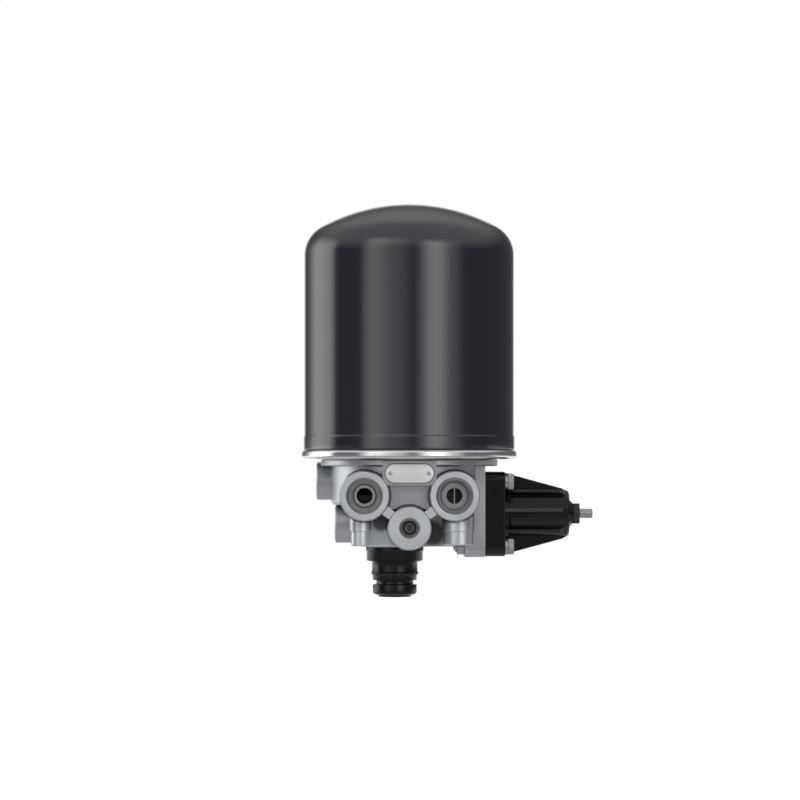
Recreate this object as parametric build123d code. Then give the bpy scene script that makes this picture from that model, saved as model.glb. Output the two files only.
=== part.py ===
from build123d import *
import math
import os

# Air dryer for a vehicle's compressed-air system, with a spin-on desiccant cartridge,
# a purge valve with its exhaust neck below, and a pressure regulator on the right.
# Millimetres, +Z up. The origin is midway between the two upper fixing holes, on the rear
# mounting face, so the dryer stands in front of the plane Y = 0 and faces -Y.

# Cartridge: place and outside
AXIS_Y = -75.0             # cartridge axis in front of the mounting face
CAN_RADIUS = 68.4
CAN_WALL = 1.0
SHOULDER_RADIUS = 21.0
DOME_RADIUS = 119.0
CAN_STRAIGHT = 117.0       # straight side above the joggle
JOGGLE_HEIGHT = 9.9        # slightly wider band that is drawn over the seam
JOGGLE_STEP = 0.45
SEAM_STAND = 2.0           # how far the rolled seam stands out past the can
SEAM_HEIGHT = 5.9
SEAM_WIDTH = 4.4
SEAM_ROUND = 2.1

# Deck: where the cartridge meets the housing
DECK_TOP = 18.0
DECK_RADIUS = 57.7
DECK_THICK = 4.5

# Cartridge base
LID_SHEET = 1.0
LID_LIFT = 2.6             # the lid's flat web above the deck
SEAL_INNER = 47.4
SEAL_OUTER = 54.6
SEAL_HEIGHT = 4.0
LID_INNER = 42.0
PLATE_GAP = 4.4            # between the base plate and the can
PLATE_THICK = 6.0
COLLAR_WALL = 4.6
COLLAR_HEIGHT = 12.0
THREAD_RADIUS = 19.5       # M39 x 1.5 fixing thread
THREAD_CLEARANCE = 0.05
INLET_HOLES = 8
INLET_HOLE_RADIUS = 4.0
INLET_CIRCLE = 33.0

# Desiccant pack
FILTER_WIDTH = 9.0
CANISTER_WALL = 1.6
CANISTER_DOME_GAP = 14.8   # below the dome, at the canister's rim
CANISTER_FLOOR = 2.0
LEDGE_WIDTH = 5.0
LEDGE_HEIGHT = 4.0
DISC_THICK = 1.5
DISC_GAP = 0.2             # radial room for discs, felt and beads inside the canister
FLEECE_THICK = 3.0
RIM_HEIGHT = 11.0          # canister rim above the upper disc
PERFORATION_RADIUS = 3.5
PERFORATION_ROWS = ((20.0, 5), (40.0, 9))
LUG_COUNT = 6
LUG_HEIGHT = 3.0
FILTER_LIFT = 10.0         # underside of the oil filter ring above the canister floor
FILTER_HEIGHT = 26.0
FILTER_GAP = 0.4
PACK_SPRING_RADIUS = 28.0
PACK_SPRING_WIRE = 1.5
PACK_SPRING_TURNS = 3

# Housing
BOWL_RADIUS = 50.9
BOWL_DEPTH = 25.5
BOWL_FILLET = 3.0
BOWL_ROOT = 18.0           # cast bosses run in to this distance from the cartridge axis
CHAMBER_RADIUS = 45.0
CHAMBER_FLOOR = -5.0
HUB_TOP = 33.0
HUB_BORE = 13.0
HUB_BORE_FLOOR = -9.0
CAST_EDGE = 0.8            # softened edge of a cast boss
HUB_CHAMFER = 1.2
HUB_FOOT = 2.0             # walls in the ring chamber reach this far under its floor
HUB_GROOVE_TOP = 2.2       # below the hub's end
HUB_GROOVE_WIDTH = 1.6
HUB_GROOVE_DEPTH = 1.5

# Front ports
PORT_FACE = 62.0           # boss faces in front of the cartridge axis
PORT_X = 28.6
PORT_Z = -5.4
PORT_BOSS = 16.0
PANEL_WIDTH = 38.0         # flat wall between the port bosses, under the nameplate pad
PANEL_FACE = 52.0
PANEL_ROOT = 40.0
PANEL_TOP = 3.0
PANEL_BOTTOM = -14.0
APRON_LEFT = -31.0         # wall between the pillars
APRON_RIGHT = 28.0
APRON_FACE = 31.0
APRON_BOTTOM = -38.2
APRON_TOP = -9.0
INLET_RADIUS = 11.0        # M22 x 1.5
INLET_DEPTH = 14.0
INLET_THREAD_END = 11.0    # below it the bore keeps its core size
INLET_CORE = 10.3
INLET_WAY = 5.1
INLET_LIP = 2.0
INLET_LIP_HEIGHT = 2.6
OUTLET_RADIUS = 11.15
OUTLET_DEPTH = 12.5
INLET_WAY_END = 30.0       # from the cartridge axis
CONTROL_Z = -25.8
CONTROL_BOSS = 14.0
CONTROL_RADIUS = 6.0       # M12 x 1.5
CONTROL_DEPTH = 12.0
CONTROL_ROOT = 8.0         # from the cartridge axis
WEB_WIDTH = 6.0
WEB_FACE = 60.5
WEB_ROOT = 20.0
MOUTH_CHAMFER = 0.8

# Check valve in the outlet port
VALVE_BORE = 9.5
VALVE_BORE_DEPTH = 30.0
VALVE_SEAT = 5.6
VALVE_SEAT_DEPTH = 4.0
VALVE_FIT = 0.05
CAGE_THICK = 2.0
CAGE_INSET = 0.4
CAGE_HOLE = 5.0
CAGE_WEB = 0.8
VALVE_DISC = 7.9
VALVE_DISC_THICK = 3.0
VALVE_REST_GAP = 0.05
WING_COUNT = 3
WING_THICK = 1.6
WING_LENGTH = 8.0
VALVE_SPRING_RADIUS = 6.4
VALVE_SPRING_WIRE = 0.5
VALVE_SPRING_TURNS = 3
DELIVERY_DUCT = 5.0
DELIVERY_WALL = 3.0

# Throttle insert in the lower port
THROTTLE_RADIUS = 4.0
THROTTLE_LENGTH = 5.5
THROTTLE_SOCKET = 2.6
THROTTLE_ORIFICE = 0.7
THROTTLE_SOCKET_DEPTH = 2.5
THROTTLE_CONE = 1.0
THROTTLE_INSET = 0.5
REGENERATION_DUCT = 1.8
REGENERATION_Y = 14.0      # duct in front of the cartridge axis
REGENERATION_RISE = 3.0    # duct's end above the hub bore's floor

# Nameplate
PAD_WIDTH = 34.2
PAD_TOP = 17.1
PAD_BOTTOM = 1.4
PAD_FACE = 60.0
PAD_ROOT = 40.0            # from the cartridge axis
PAD_ROUND = 1.5
PLATE_DROP = 0.3           # plate's centre below the pad's
PLATE_LENGTH = 30.5
PLATE_HEIGHT = 11.8
PLATE_SHEET = 0.8
RIVET_SPACING = 24.4
RIVET_RADIUS = 1.3
RIVET_HEIGHT = 0.6

# Purge valve and exhaust neck
PURGE_X = -9.4
PURGE_Y = 4.0              # purge axis behind the cartridge axis
PURGE_BORE = 14.0
PURGE_BORE_TOP = -15.5
PURGE_NECK_RADIUS = 18.5
PURGE_COLLAR_RADIUS = 23.0
PURGE_COLLAR_TOP = -26.0
PURGE_BOTTOM = -39.1
PURGE_FIT = 0.1
PISTON_TOP_GAP = 0.5
PISTON_THICK = 6.0
PISTON_LAND = 2.0
PISTON_RECESS = 1.5        # ring groove under the piston for its spring
PISTON_RECESS_WIDTH = 3.4
PISTON_SKIRT = 1.2
SEAT_TOP = -30.0
SEAT_THICK = 3.2
SEAT_HOLE = 7.0
STEM_RADIUS = 3.0
STEM_FILLET = 1.5
STEM_BELOW_DISC = 4.5
EXHAUST_NUT_FLATS = 9.0
EXHAUST_NUT_THICK = 3.5
EXHAUST_DISC = 9.5
EXHAUST_DISC_THICK = 3.0
EXHAUST_REST_GAP = 0.05
PURGE_SPRING_INSET = 2.5   # wire centre inside the barrel's bore
PURGE_SPRING_WIRE = 0.7
PURGE_SPRING_TURNS = 2.5
DRAIN_DUCT = 3.5
DRAIN_X = -30.0
DRAIN_Z = -26.0
DRAIN_CROSS = 3.0
SIGNAL_DUCT = 1.2          # purge chamber to regulator
SIGNAL_RISE = 0.5
SIGNAL_REACH = 5.0
SNAP_GROOVE_TOP = -36.2
SNAP_GROOVE_FIT = 0.1
SNAP_RING_SLIT = 5.0
SPOT_FACE_DEPTH = 5.0
SPOT_FACE_GAP = 0.4
SNAP_RING_THICK = 1.2
SNAP_RING_DEPTH = 1.2
RING_GROOVE_TOP = -32.6
RING_SECTION = 0.95
RING_GROOVE = 2.0          # height of an o-ring's groove
RING_SQUEEZE = 0.05        # an o-ring is drawn this much thinner than its room
NECK_INNER = 10.2
NECK_INNER_BOTTOM = -48.0
NECK_OUTLET = 9.0
NECK_LIP = 18.9
NECK_COLLAR = 18.4
NECK_BODY = 14.9
NECK_RIDGE = 15.6
NECK_RING = 14.4
NECK_GROOVE = 12.1
NECK_TIP = 10.8
NECK_BOTTOM = -71.9
NECK_LIP_BOTTOM = -42.0
NECK_COLLAR_BOTTOM = -48.2
NECK_BODY_TOP = -49.2
NECK_BODY_BOTTOM = -55.4
NECK_RIDGE_TOP = -56.1
NECK_RIDGE_BOTTOM = -56.6
NECK_RING_TOP = -58.2
NECK_RING_BOTTOM = -60.9
NECK_GROOVE_TOP = -61.3
NECK_GROOVE_BOTTOM = -63.5
NECK_FOOT_TOP = -63.9
NECK_FOOT_BOTTOM = -69.2
NECK_EDGE = 0.3
NECK_FOOT_ROUND = 0.9

# Pressure regulator
REG_Z = -17.5
REG_FACE = 48.9            # joint face between housing and cover
REG_PAD_THICK = 13.2
REG_PAD_HALF = 27.5
REG_PAD_BOTTOM = -45.3
REG_PAD_ROUND = 6.0
REG_BOSS = 14.0
REG_BORE = 8.5
REG_BORE_END = 24.0
REG_BOSS_START = 1.1
COVER_SQUARE = 54.6
COVER_FLANGE = 13.0
COVER_ROUND = 6.0
COVER_WALL = 3.4
COVER_BASE_STEP = 1.8
COVER_BASE_LENGTH = 4.0
COVER_END = 104.0
COVER_END_ROUND = 1.4
COVER_BORE = 12.0
COVER_BORE_END = 96.0
COVER_TIP = 8.6
COVER_TIP_END = 106.9
COVER_TIP_STEP = 2.0
COVER_TIP_RISE = 0.9
COVER_FLANGE_EDGE = 0.6
COVER_BASE_SLOPE = 1.5
RIB_WIDTH = 2.6
RIB_TALL = 26.8
RIB_LOW_STAND = 3.0        # low ribs above the spring tower
RIB_END = 102.4
RIB_TIP_SLOPE = 2.5
RIB_TIP_STAND = 0.9
RIB_TIP_DROP = 0.8
LOW_RIB_END = 97.5
BOLT_OFFSET = 21.0
BOLT_RADIUS = 3.0          # M6
BOLT_HEAD_FLATS = 10.0
BOLT_HEAD_HEIGHT = 4.0
BOLT_CLEARANCE = 0.3
WASHER_RADIUS = 5.4
WASHER_THICK = 1.6
WASHER_SLIT = 0.8
NUT_THICK = 5.0
BOLT_END = 1.8
BOLT_TIP = 0.6
TAPPED_DEPTH = 10.0
TAPPED_BOSS = 5.6
TAPPED_BOSS_LENGTH = 13.0
PISTON_HEAD_LENGTH = 7.5
PISTON_STEM_END = 27.0
PISTON_GROOVE = 8.0        # from the stem's end
PISTON_BOSS = 4.0          # boss inside the spring
PISTON_EDGE = 1.0
PISTON_FIT = 0.05
PISTON_REST_GAP = 0.3
SPRING_RADIUS = 9.2
SPRING_WIRE = 1.4
SPRING_TURNS = 5
SPRING_LENGTH = 31.0
SPRING_GUIDE_GAP = 0.5     # spring seats' bosses inside the spring
SPRING_SEAT_GAP = 0.3
SPRING_SEAT_THICK = 3.0
FACE_SEAL_STEP = 4.0       # seal centre outside the cover's bore
FACE_SEAL_SECTION = 1.2
FACE_SEAL_FIT = 0.1
SCREW_RADIUS = 4.0         # M8 x 1.25
SCREW_FIT = 0.05
SCREW_TURNED = 3.0
SCREW_TURNED_START = 111.6
SCREW_EDGE = 0.4
SCREW_END = 119.5
SCREW_CONE = 3.0
SCREW_SLOT = 1.2
SCREW_SLOT_DEPTH = 1.6
LOCK_NUT_FLATS = 13.0
LOCK_NUT_THICK = 4.1
NUT_CORNER_SLOPE = 0.6

# Rear fixing and other cast bosses
FIXING_X = 34.0
FIXING_LOW_Z = -24.0
FIXING_BOSS = 11.0
FIXING_BOSS_ROOT = 13.5
FIXING_RADIUS = 6.0        # M12
FIXING_DEPTH = 20.0
REAR_RIB = 7.0
REAR_RIB_START = 4.0       # behind the ribs, from the mounting face
REAR_RIB_END = 39.0        # from the cartridge axis
REAR_ROOT = 30.0           # from the cartridge axis
LEFT_ROOT = 26.0           # from the cartridge axis
LEFT_PORT = (12.4, -60.6, 10.0, 3.6)       # boss radius, face X, Y from axis, Z
LEFT_BLANK = (12.3, -48.2, -5.0, -24.2)
LEFT_PILLAR = (6.0, -PORT_X - 2.6, -37.4)  # radius, X, bottom
RIGHT_PILLAR = (9.4, PORT_X + 2.4, -36.9)
PILLAR_Y = -48.0
PILLAR_COLLAR = 0.9        # upper part of a pillar is this much wider
PILLAR_COLLAR_LENGTH = 22.5
PILLAR_WALL_LIFT = 4.0
PILLAR_WALL_DROP = 5.0
PILLAR_WALL_END = 30.0     # from the cartridge axis

CORE_AXIS = Pos(0, AXIS_Y, 0)
PURGE_AXIS = Pos(PURGE_X, AXIS_Y + PURGE_Y, 0)
EPS = 0.5                  # overrun of a cutting tool past a face


def lathe(*points):
    """Solid of revolution about Z; the outline is a closed run of (radius, height) points."""
    return revolve(make_face(Plane.XZ * Polyline(*points, close=True)), Axis.Z)


def tube(outer, inner, low, high):
    """Plain ring between two heights."""
    return lathe((inner, low), (outer, low), (outer, high), (inner, high))


def rod(radius, low, high):
    """Plain cylinder between two heights on Z."""
    return Pos(0, 0, low) * Cylinder(radius, high - low, align=(Align.CENTER, Align.CENTER, Align.MIN))


def boss(radius, length, edge=CAST_EDGE):
    """Cylinder whose face is at Z 0 with a softened edge, running back to -length."""
    return lathe((0, 0), (radius - edge, 0), (radius, -edge), (radius, -length), (0, -length))


def o_ring(centre_radius, section, height):
    """Rubber ring whose section has six flats, as it is squeezed in its groove."""
    outline = Pos(centre_radius, 0, height) * Rot(90, 0, 0) * RegularPolygon(section, 6, rotation=30)
    return revolve(outline, Axis.Z)


def coil(radius, wire, low, high, turns):
    """Open compression spring of six-sided wire between two heights."""
    rise = high - low - 2 * wire
    path = Helix(pitch=rise / turns, height=rise, radius=radius)
    section = Plane(origin=path @ 0, z_dir=path % 0) * RegularPolygon(wire, 6)
    return Pos(0, 0, low + wire) * sweep(section, path=path, is_frenet=True)


def ring_of(shape, count, start=0.0):
    """Copies of a shape evenly turned about Z."""
    return [Rot(0, 0, start + 360 * i / count) * shape for i in range(count)]


def to_front(shape, x, z, face=PORT_FACE):
    """Turns local +Z to face the front, with local zero on a face in front of the axis."""
    return Pos(x, AXIS_Y - face, z) * Rot(90, 0, 0) * shape


def to_right(shape, z=REG_Z, y=0.0):
    """Turns local +Z to point right along +X, on the regulator's axis unless told."""
    return Pos(0, AXIS_Y + y, z) * Rot(0, 90, 0) * shape


def to_left(shape, x, y, z):
    """Turns local +Z to point left, with local zero on a face at x."""
    return Pos(x, AXIS_Y + y, z) * Rot(0, -90, 0) * shape


def can_outline(inset=0.0):
    """Half outline of the drawn can: straight side, shoulder arc and shallow dome."""
    low = DECK_TOP + SEAM_HEIGHT
    step = low + JOGGLE_HEIGHT
    side_top = step + CAN_STRAIGHT
    centre_x = CAN_RADIUS - SHOULDER_RADIUS
    rise = math.sqrt((DOME_RADIUS - SHOULDER_RADIUS) ** 2 - centre_x ** 2)
    dome_z = side_top - rise
    angle = math.atan2(rise, centre_x)
    shoulder = SHOULDER_RADIUS - inset
    dome = DOME_RADIUS - inset
    join = (dome * math.cos(angle), dome_z + dome * math.sin(angle))
    middle = angle / 2
    shoulder_mid = (centre_x + shoulder * math.cos(middle), side_top + shoulder * math.sin(middle))
    half = (angle + math.pi / 2) / 2
    dome_mid = (dome * math.cos(half), dome_z + dome * math.sin(half))
    side = CAN_RADIUS - inset
    wide = side + JOGGLE_STEP
    outline = Curve() + [
        Polyline((0, low), (wide, low), (wide, step - JOGGLE_STEP), (side, step), (side, side_top)),
        ThreePointArc((side, side_top), shoulder_mid, join),
        ThreePointArc(join, dome_mid, (0, dome_z + dome)),
        Line((0, dome_z + dome), (0, low)),
    ]
    return make_face(Plane.XZ * outline)


def dome_height(radius):
    """Height of the can's inner dome at a radius."""
    centre_x = CAN_RADIUS - SHOULDER_RADIUS
    rise = math.sqrt((DOME_RADIUS - SHOULDER_RADIUS) ** 2 - centre_x ** 2)
    dome_z = DECK_TOP + SEAM_HEIGHT + JOGGLE_HEIGHT + CAN_STRAIGHT - rise
    return dome_z + math.sqrt((DOME_RADIUS - CAN_WALL) ** 2 - radius ** 2)


SEAM_RADIUS = CAN_RADIUS + SEAM_STAND
PLATE_RADIUS = CAN_RADIUS - CAN_WALL - PLATE_GAP
COVER_HUB = COVER_BORE + COVER_WALL
COVER_BASE = COVER_HUB + COVER_BASE_STEP
RIB_LOW = COVER_HUB + RIB_LOW_STAND
SPRING_GUIDE = SPRING_RADIUS - SPRING_WIRE - SPRING_GUIDE_GAP
SPRING_SEAT_RADIUS = COVER_BORE - SPRING_SEAT_GAP
FACE_SEAL_RADIUS = COVER_BORE + FACE_SEAL_STEP

PLATE_LOW = DECK_TOP + SEAL_HEIGHT + LID_SHEET
COLLAR_TOP = PLATE_LOW + COLLAR_HEIGHT
CANISTER_RADIUS = CAN_RADIUS - CAN_WALL - FILTER_GAP - FILTER_WIDTH
CANISTER_IN = CANISTER_RADIUS - CANISTER_WALL
CANISTER_TOP = dome_height(CANISTER_RADIUS) - CANISTER_DOME_GAP
LEDGE_TOP = COLLAR_TOP + CANISTER_FLOOR + LEDGE_HEIGHT
BED_LOW = LEDGE_TOP + DISC_THICK + FLEECE_THICK
BED_TOP = CANISTER_TOP - RIM_HEIGHT - DISC_THICK - FLEECE_THICK


def cartridge_shell():
    """Deep-drawn steel can, open at the bottom."""
    return revolve(can_outline(), Axis.Z) - revolve(can_outline(CAN_WALL), Axis.Z)


def seam_lid():
    """Rolled seam bead with the thin lid that holds the sealing ring in a pressed groove."""
    low, high = DECK_TOP, DECK_TOP + SEAM_HEIGHT
    bead = fillet(tube(SEAM_RADIUS, SEAM_RADIUS - SEAM_WIDTH, low, high).edges(), SEAM_ROUND)
    web = DECK_TOP + LID_LIFT
    groove = DECK_TOP + SEAL_HEIGHT
    lid = tube(SEAM_RADIUS - SEAM_WIDTH / 2, SEAL_OUTER, web, web + LID_SHEET)
    lid += tube(SEAL_OUTER + LID_SHEET, SEAL_OUTER, web, PLATE_LOW)
    lid += tube(SEAL_OUTER + LID_SHEET, SEAL_INNER - LID_SHEET, groove, PLATE_LOW)
    lid += tube(SEAL_INNER, SEAL_INNER - LID_SHEET, web, PLATE_LOW)
    lid += tube(SEAL_INNER, LID_INNER, web, web + LID_SHEET)
    return bead + lid


def base_plate():
    """Thick threaded plate that carries the pressure, with a ring of inlet holes."""
    inner = THREAD_RADIUS
    plate = tube(PLATE_RADIUS, inner, PLATE_LOW, PLATE_LOW + PLATE_THICK)
    plate += tube(inner + COLLAR_WALL, inner, PLATE_LOW, COLLAR_TOP)
    hole = Pos(INLET_CIRCLE, 0, 0) * rod(INLET_HOLE_RADIUS, PLATE_LOW - EPS, PLATE_LOW + PLATE_THICK + EPS)
    return plate - ring_of(hole, INLET_HOLES)


def seal_ring():
    """Flat-sided rubber ring under the lid, pressed on the deck."""
    return tube(SEAL_OUTER, SEAL_INNER, DECK_TOP, DECK_TOP + SEAL_HEIGHT)


def centre_seal_ring():
    """O-ring in the hub's groove, inside the base plate's collar."""
    middle = HUB_TOP - HUB_GROOVE_TOP - HUB_GROOVE_WIDTH / 2
    section = HUB_GROOVE_WIDTH / 2
    return o_ring(THREAD_RADIUS - section, section - RING_SQUEEZE, middle)


def desiccant_canister():
    """Inner pot for the beads, with a ledge inside and lugs outside for the filter ring."""
    floor = COLLAR_TOP
    pot = tube(CANISTER_RADIUS, CANISTER_IN, floor, CANISTER_TOP)
    pot += tube(CANISTER_RADIUS, THREAD_RADIUS, floor, floor + CANISTER_FLOOR)
    pot += tube(CANISTER_RADIUS, CANISTER_IN - LEDGE_WIDTH, floor, LEDGE_TOP)
    reach = CAN_RADIUS - CAN_WALL - FILTER_GAP
    lug_low = floor + FILTER_LIFT - LUG_HEIGHT
    lug = Pos(CANISTER_RADIUS - CANISTER_WALL / 2, 0, lug_low) * Box(
        reach - CANISTER_RADIUS + CANISTER_WALL / 2, 8, LUG_HEIGHT,
        align=(Align.MIN, Align.CENTER, Align.MIN))
    return pot + ring_of(lug, LUG_COUNT)


def perforated_disc(low):
    """Sheet disc that holds the beads back and lets air through."""
    disc = rod(CANISTER_IN - DISC_GAP, low, low + DISC_THICK)
    for circle, count in PERFORATION_ROWS:
        hole = Pos(circle, 0, 0) * rod(PERFORATION_RADIUS, low - EPS, low + DISC_THICK + EPS)
        disc -= ring_of(hole, count)
    return disc


def fleece(low):
    """Felt disc between the beads and a perforated disc."""
    return rod(CANISTER_IN - DISC_GAP, low, low + FLEECE_THICK)


def oil_filter_ring():
    """Coalescing ring around the canister, standing on its lugs."""
    low = COLLAR_TOP + FILTER_LIFT
    outer = CAN_RADIUS - CAN_WALL - FILTER_GAP
    return tube(outer, CANISTER_RADIUS, low, low + FILTER_HEIGHT)


def cartridge_spring():
    """Spring that keeps the bead bed packed, between the upper disc and the dome."""
    low = BED_TOP + FLEECE_THICK + DISC_THICK
    high = dome_height(PACK_SPRING_RADIUS + PACK_SPRING_WIRE)
    return coil(PACK_SPRING_RADIUS, PACK_SPRING_WIRE, low, high, PACK_SPRING_TURNS)


def cast_bowl():
    """Deck disc and bowl under the cartridge."""
    low = DECK_TOP - DECK_THICK
    bowl = rod(BOWL_RADIUS, low - BOWL_DEPTH, low + EPS)
    bowl = fillet(bowl.edges().group_by(Axis.Z)[0], BOWL_FILLET)
    deck = rod(DECK_RADIUS, low, DECK_TOP)
    deck = chamfer(deck.edges().filter_by(GeomType.CIRCLE), CAST_EDGE)
    return bowl + deck


def front_bosses():
    """The three round port bosses, the short webs between them and the nameplate pad."""
    back = PORT_FACE - BOWL_ROOT
    bosses = [to_front(boss(PORT_BOSS, back), x, PORT_Z) for x in (-PORT_X, PORT_X)]
    bosses.append(to_front(boss(CONTROL_BOSS, PORT_FACE - CONTROL_ROOT), 0, CONTROL_Z))
    drop = PORT_Z - CONTROL_Z
    length = math.hypot(PORT_X, drop)
    depth = WEB_FACE - WEB_ROOT
    for side in (-1, 1):
        tilt = side * math.degrees(math.atan2(drop, PORT_X))
        web = Pos(side * PORT_X / 2, AXIS_Y - WEB_FACE + depth / 2, (PORT_Z + CONTROL_Z) / 2)
        bosses.append(web * Rot(0, -tilt, 0) * Box(length, depth, WEB_WIDTH))
    pad = Box(PAD_WIDTH, PAD_FACE - PAD_ROOT, PAD_TOP - PAD_BOTTOM,
              align=(Align.CENTER, Align.MIN, Align.MIN))
    pad = fillet(pad.edges().filter_by(Axis.Y), PAD_ROUND)
    bosses.append(Pos(0, AXIS_Y - PAD_FACE, PAD_BOTTOM) * pad)
    return bosses


def front_walls():
    """Flat panel between the port bosses and the apron wall between the pillars."""
    panel = Box(PANEL_WIDTH, PANEL_FACE - PANEL_ROOT, PANEL_TOP - PANEL_BOTTOM,
                align=(Align.CENTER, Align.MIN, Align.MIN))
    apron = Box(APRON_RIGHT - APRON_LEFT, APRON_FACE + PURGE_Y, APRON_TOP - APRON_BOTTOM,
                align=(Align.MIN, Align.MIN, Align.MIN))
    apron = chamfer(apron.edges().group_by(Axis.Z)[0].group_by(Axis.Y)[0], CAST_EDGE)
    return [Pos(0, AXIS_Y - PANEL_FACE, PANEL_BOTTOM) * panel,
            Pos(APRON_LEFT, AXIS_Y - APRON_FACE, APRON_BOTTOM) * apron]


def pillars():
    """Vertical round pillars under the two upper ports."""
    made = []
    for radius, x, low in (LEFT_PILLAR, RIGHT_PILLAR):
        pillar = rod(radius, low, PORT_Z)
        pillar = chamfer(pillar.edges().group_by(Axis.Z)[0], CAST_EDGE)
        collar = rod(radius + PILLAR_COLLAR, PORT_Z - PILLAR_COLLAR_LENGTH, PORT_Z)
        made.append(Pos(x, AXIS_Y + PILLAR_Y, 0) * (pillar + collar))
        wall = Box(radius, -PILLAR_Y - PILLAR_WALL_END, PORT_Z - low - PILLAR_WALL_LIFT - PILLAR_WALL_DROP,
                   align=(Align.CENTER, Align.MIN, Align.MIN))
        made.append(Pos(x, AXIS_Y + PILLAR_Y, low + PILLAR_WALL_LIFT) * wall)
    return made


def purge_body():
    """Purge valve barrel under the bowl with its wider collar."""
    bowl_low = DECK_TOP - DECK_THICK - BOWL_DEPTH
    barrel = rod(PURGE_NECK_RADIUS, PURGE_COLLAR_TOP, bowl_low + BOWL_FILLET)
    collar = rod(PURGE_COLLAR_RADIUS, PURGE_BOTTOM, PURGE_COLLAR_TOP)
    collar = chamfer(collar.edges(), CAST_EDGE)
    return PURGE_AXIS * (barrel + collar)


def regulator_pad():
    """Square wall that carries the regulator, with the boss of its piston bore."""
    top = DECK_TOP - DECK_THICK
    wall = Box(REG_PAD_THICK, 2 * REG_PAD_HALF, top - REG_PAD_BOTTOM,
               align=(Align.MAX, Align.CENTER, Align.MIN))
    wall = fillet(wall.edges().filter_by(Axis.X).group_by(Axis.Z)[0], REG_PAD_ROUND)
    wall = Pos(REG_FACE, AXIS_Y, REG_PAD_BOTTOM) * wall
    return [wall, to_right(rod(REG_BOSS, REG_BOSS_START, REG_FACE - CAST_EDGE))]


def left_bosses():
    """Two closed round bosses on the left."""
    made = []
    for radius, x, y, z in (LEFT_PORT, LEFT_BLANK):
        made.append(to_left(boss(radius, -x - LEFT_ROOT), x, y, z))
    return made


def rear_bosses():
    """Three fixing bosses that meet the mounting face, with ribs back to the bowl."""
    reach = -AXIS_Y
    root, face = reach - REAR_ROOT, FIXING_BOSS
    rib = reach - REAR_RIB_END
    column = lathe((0, 0), (face - CAST_EDGE, 0), (face, -CAST_EDGE), (FIXING_BOSS_ROOT, -root), (0, -root))
    made = []
    for x, z in fixing_places():
        made.append(Pos(x, 0, z) * Rot(-90, 0, 0) * column)
    shelf = Box(2 * FIXING_X, rib, REAR_RIB, align=(Align.CENTER, Align.MAX, Align.CENTER))
    made.append(Pos(0, -REAR_RIB_START, 0) * shelf)
    keel = Box(REAR_RIB, rib, -FIXING_LOW_Z, align=(Align.CENTER, Align.MAX, Align.MAX))
    made.append(Pos(0, -REAR_RIB_START, 0) * keel)
    return made


def fixing_places():
    """X and Z of the rear fixing holes."""
    return [(-FIXING_X, 0.0), (FIXING_X, 0.0), (0.0, FIXING_LOW_Z)]


def bolt_places():
    """Regulator bolts as (y, z, upper) about the regulator's axis."""
    return [(y, z, z > 0) for z in (-BOLT_OFFSET, BOLT_OFFSET) for y in (-BOLT_OFFSET, BOLT_OFFSET)]


def delivery_line(radius, extra=0.0):
    """Cylinder from the central bore out to the back of the check valve."""
    end_y = -(PORT_FACE - VALVE_BORE_DEPTH)
    length = math.hypot(PORT_X, end_y)
    angle = math.degrees(math.atan2(end_y, PORT_X))
    return Pos(0, AXIS_Y, PORT_Z) * Rot(0, 0, angle) * Rot(0, 90, 0) * rod(radius, 0, length + extra)


def inner_castings():
    """Walls that stand inside the ring chamber: hub, delivery duct and tapped bosses."""
    floor = CHAMBER_FLOOR - HUB_FOOT
    hub = CORE_AXIS * rod(THREAD_RADIUS - THREAD_CLEARANCE, floor, HUB_TOP)
    hub = chamfer(hub.edges().group_by(Axis.Z)[-1], HUB_CHAMFER)
    valve = to_front(rod(VALVE_BORE + DELIVERY_WALL, -VALVE_BORE_DEPTH - DELIVERY_WALL,
                         -OUTLET_DEPTH), PORT_X, PORT_Z)
    made = [hub, valve, delivery_line(DELIVERY_DUCT + DELIVERY_WALL)]
    for y, z, upper in bolt_places():
        if upper:
            post = rod(TAPPED_BOSS, REG_FACE - TAPPED_BOSS_LENGTH, REG_FACE - CAST_EDGE)
            made.append(to_right(post, REG_Z + z, y))
    return made


def port_bores():
    """Threaded mouths and ways of the three front ports."""
    r, c, d = INLET_RADIUS, MOUTH_CHAMFER, INLET_DEPTH
    lip, way, top = INLET_WAY + INLET_LIP, INLET_WAY, INLET_DEPTH - INLET_LIP_HEIGHT
    wall_way = PORT_FACE - INLET_WAY_END
    core, end = INLET_CORE, INLET_THREAD_END
    inlet = lathe((0, EPS), (r + c + EPS, EPS), (r, -c), (r, -end), (core, -end), (core, -d), (lip, -d),
                  (lip, -top), (way, -top), (way, -wall_way), (0, -wall_way))
    r, v, s = OUTLET_RADIUS, VALVE_BORE, VALVE_SEAT
    back = VALVE_BORE_DEPTH + VALVE_SEAT_DEPTH
    outlet = lathe((0, EPS), (r + c + EPS, EPS), (r, -c), (r, -OUTLET_DEPTH), (v, -OUTLET_DEPTH),
                   (v, -VALVE_BORE_DEPTH), (s, -VALVE_BORE_DEPTH), (s, -back), (0, -back))
    r, t, g = CONTROL_RADIUS, THROTTLE_RADIUS, REGENERATION_DUCT
    seat = CONTROL_DEPTH + THROTTLE_LENGTH + THROTTLE_INSET
    end = PORT_FACE - REGENERATION_Y
    control = lathe((0, EPS), (r + c + EPS, EPS), (r, -c), (r, -CONTROL_DEPTH), (t, -CONTROL_DEPTH),
                    (t, -seat), (g, -seat), (g, -end), (0, -end))
    return [to_front(inlet, -PORT_X, PORT_Z), to_front(outlet, PORT_X, PORT_Z),
            to_front(control, 0, CONTROL_Z)]


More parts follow.
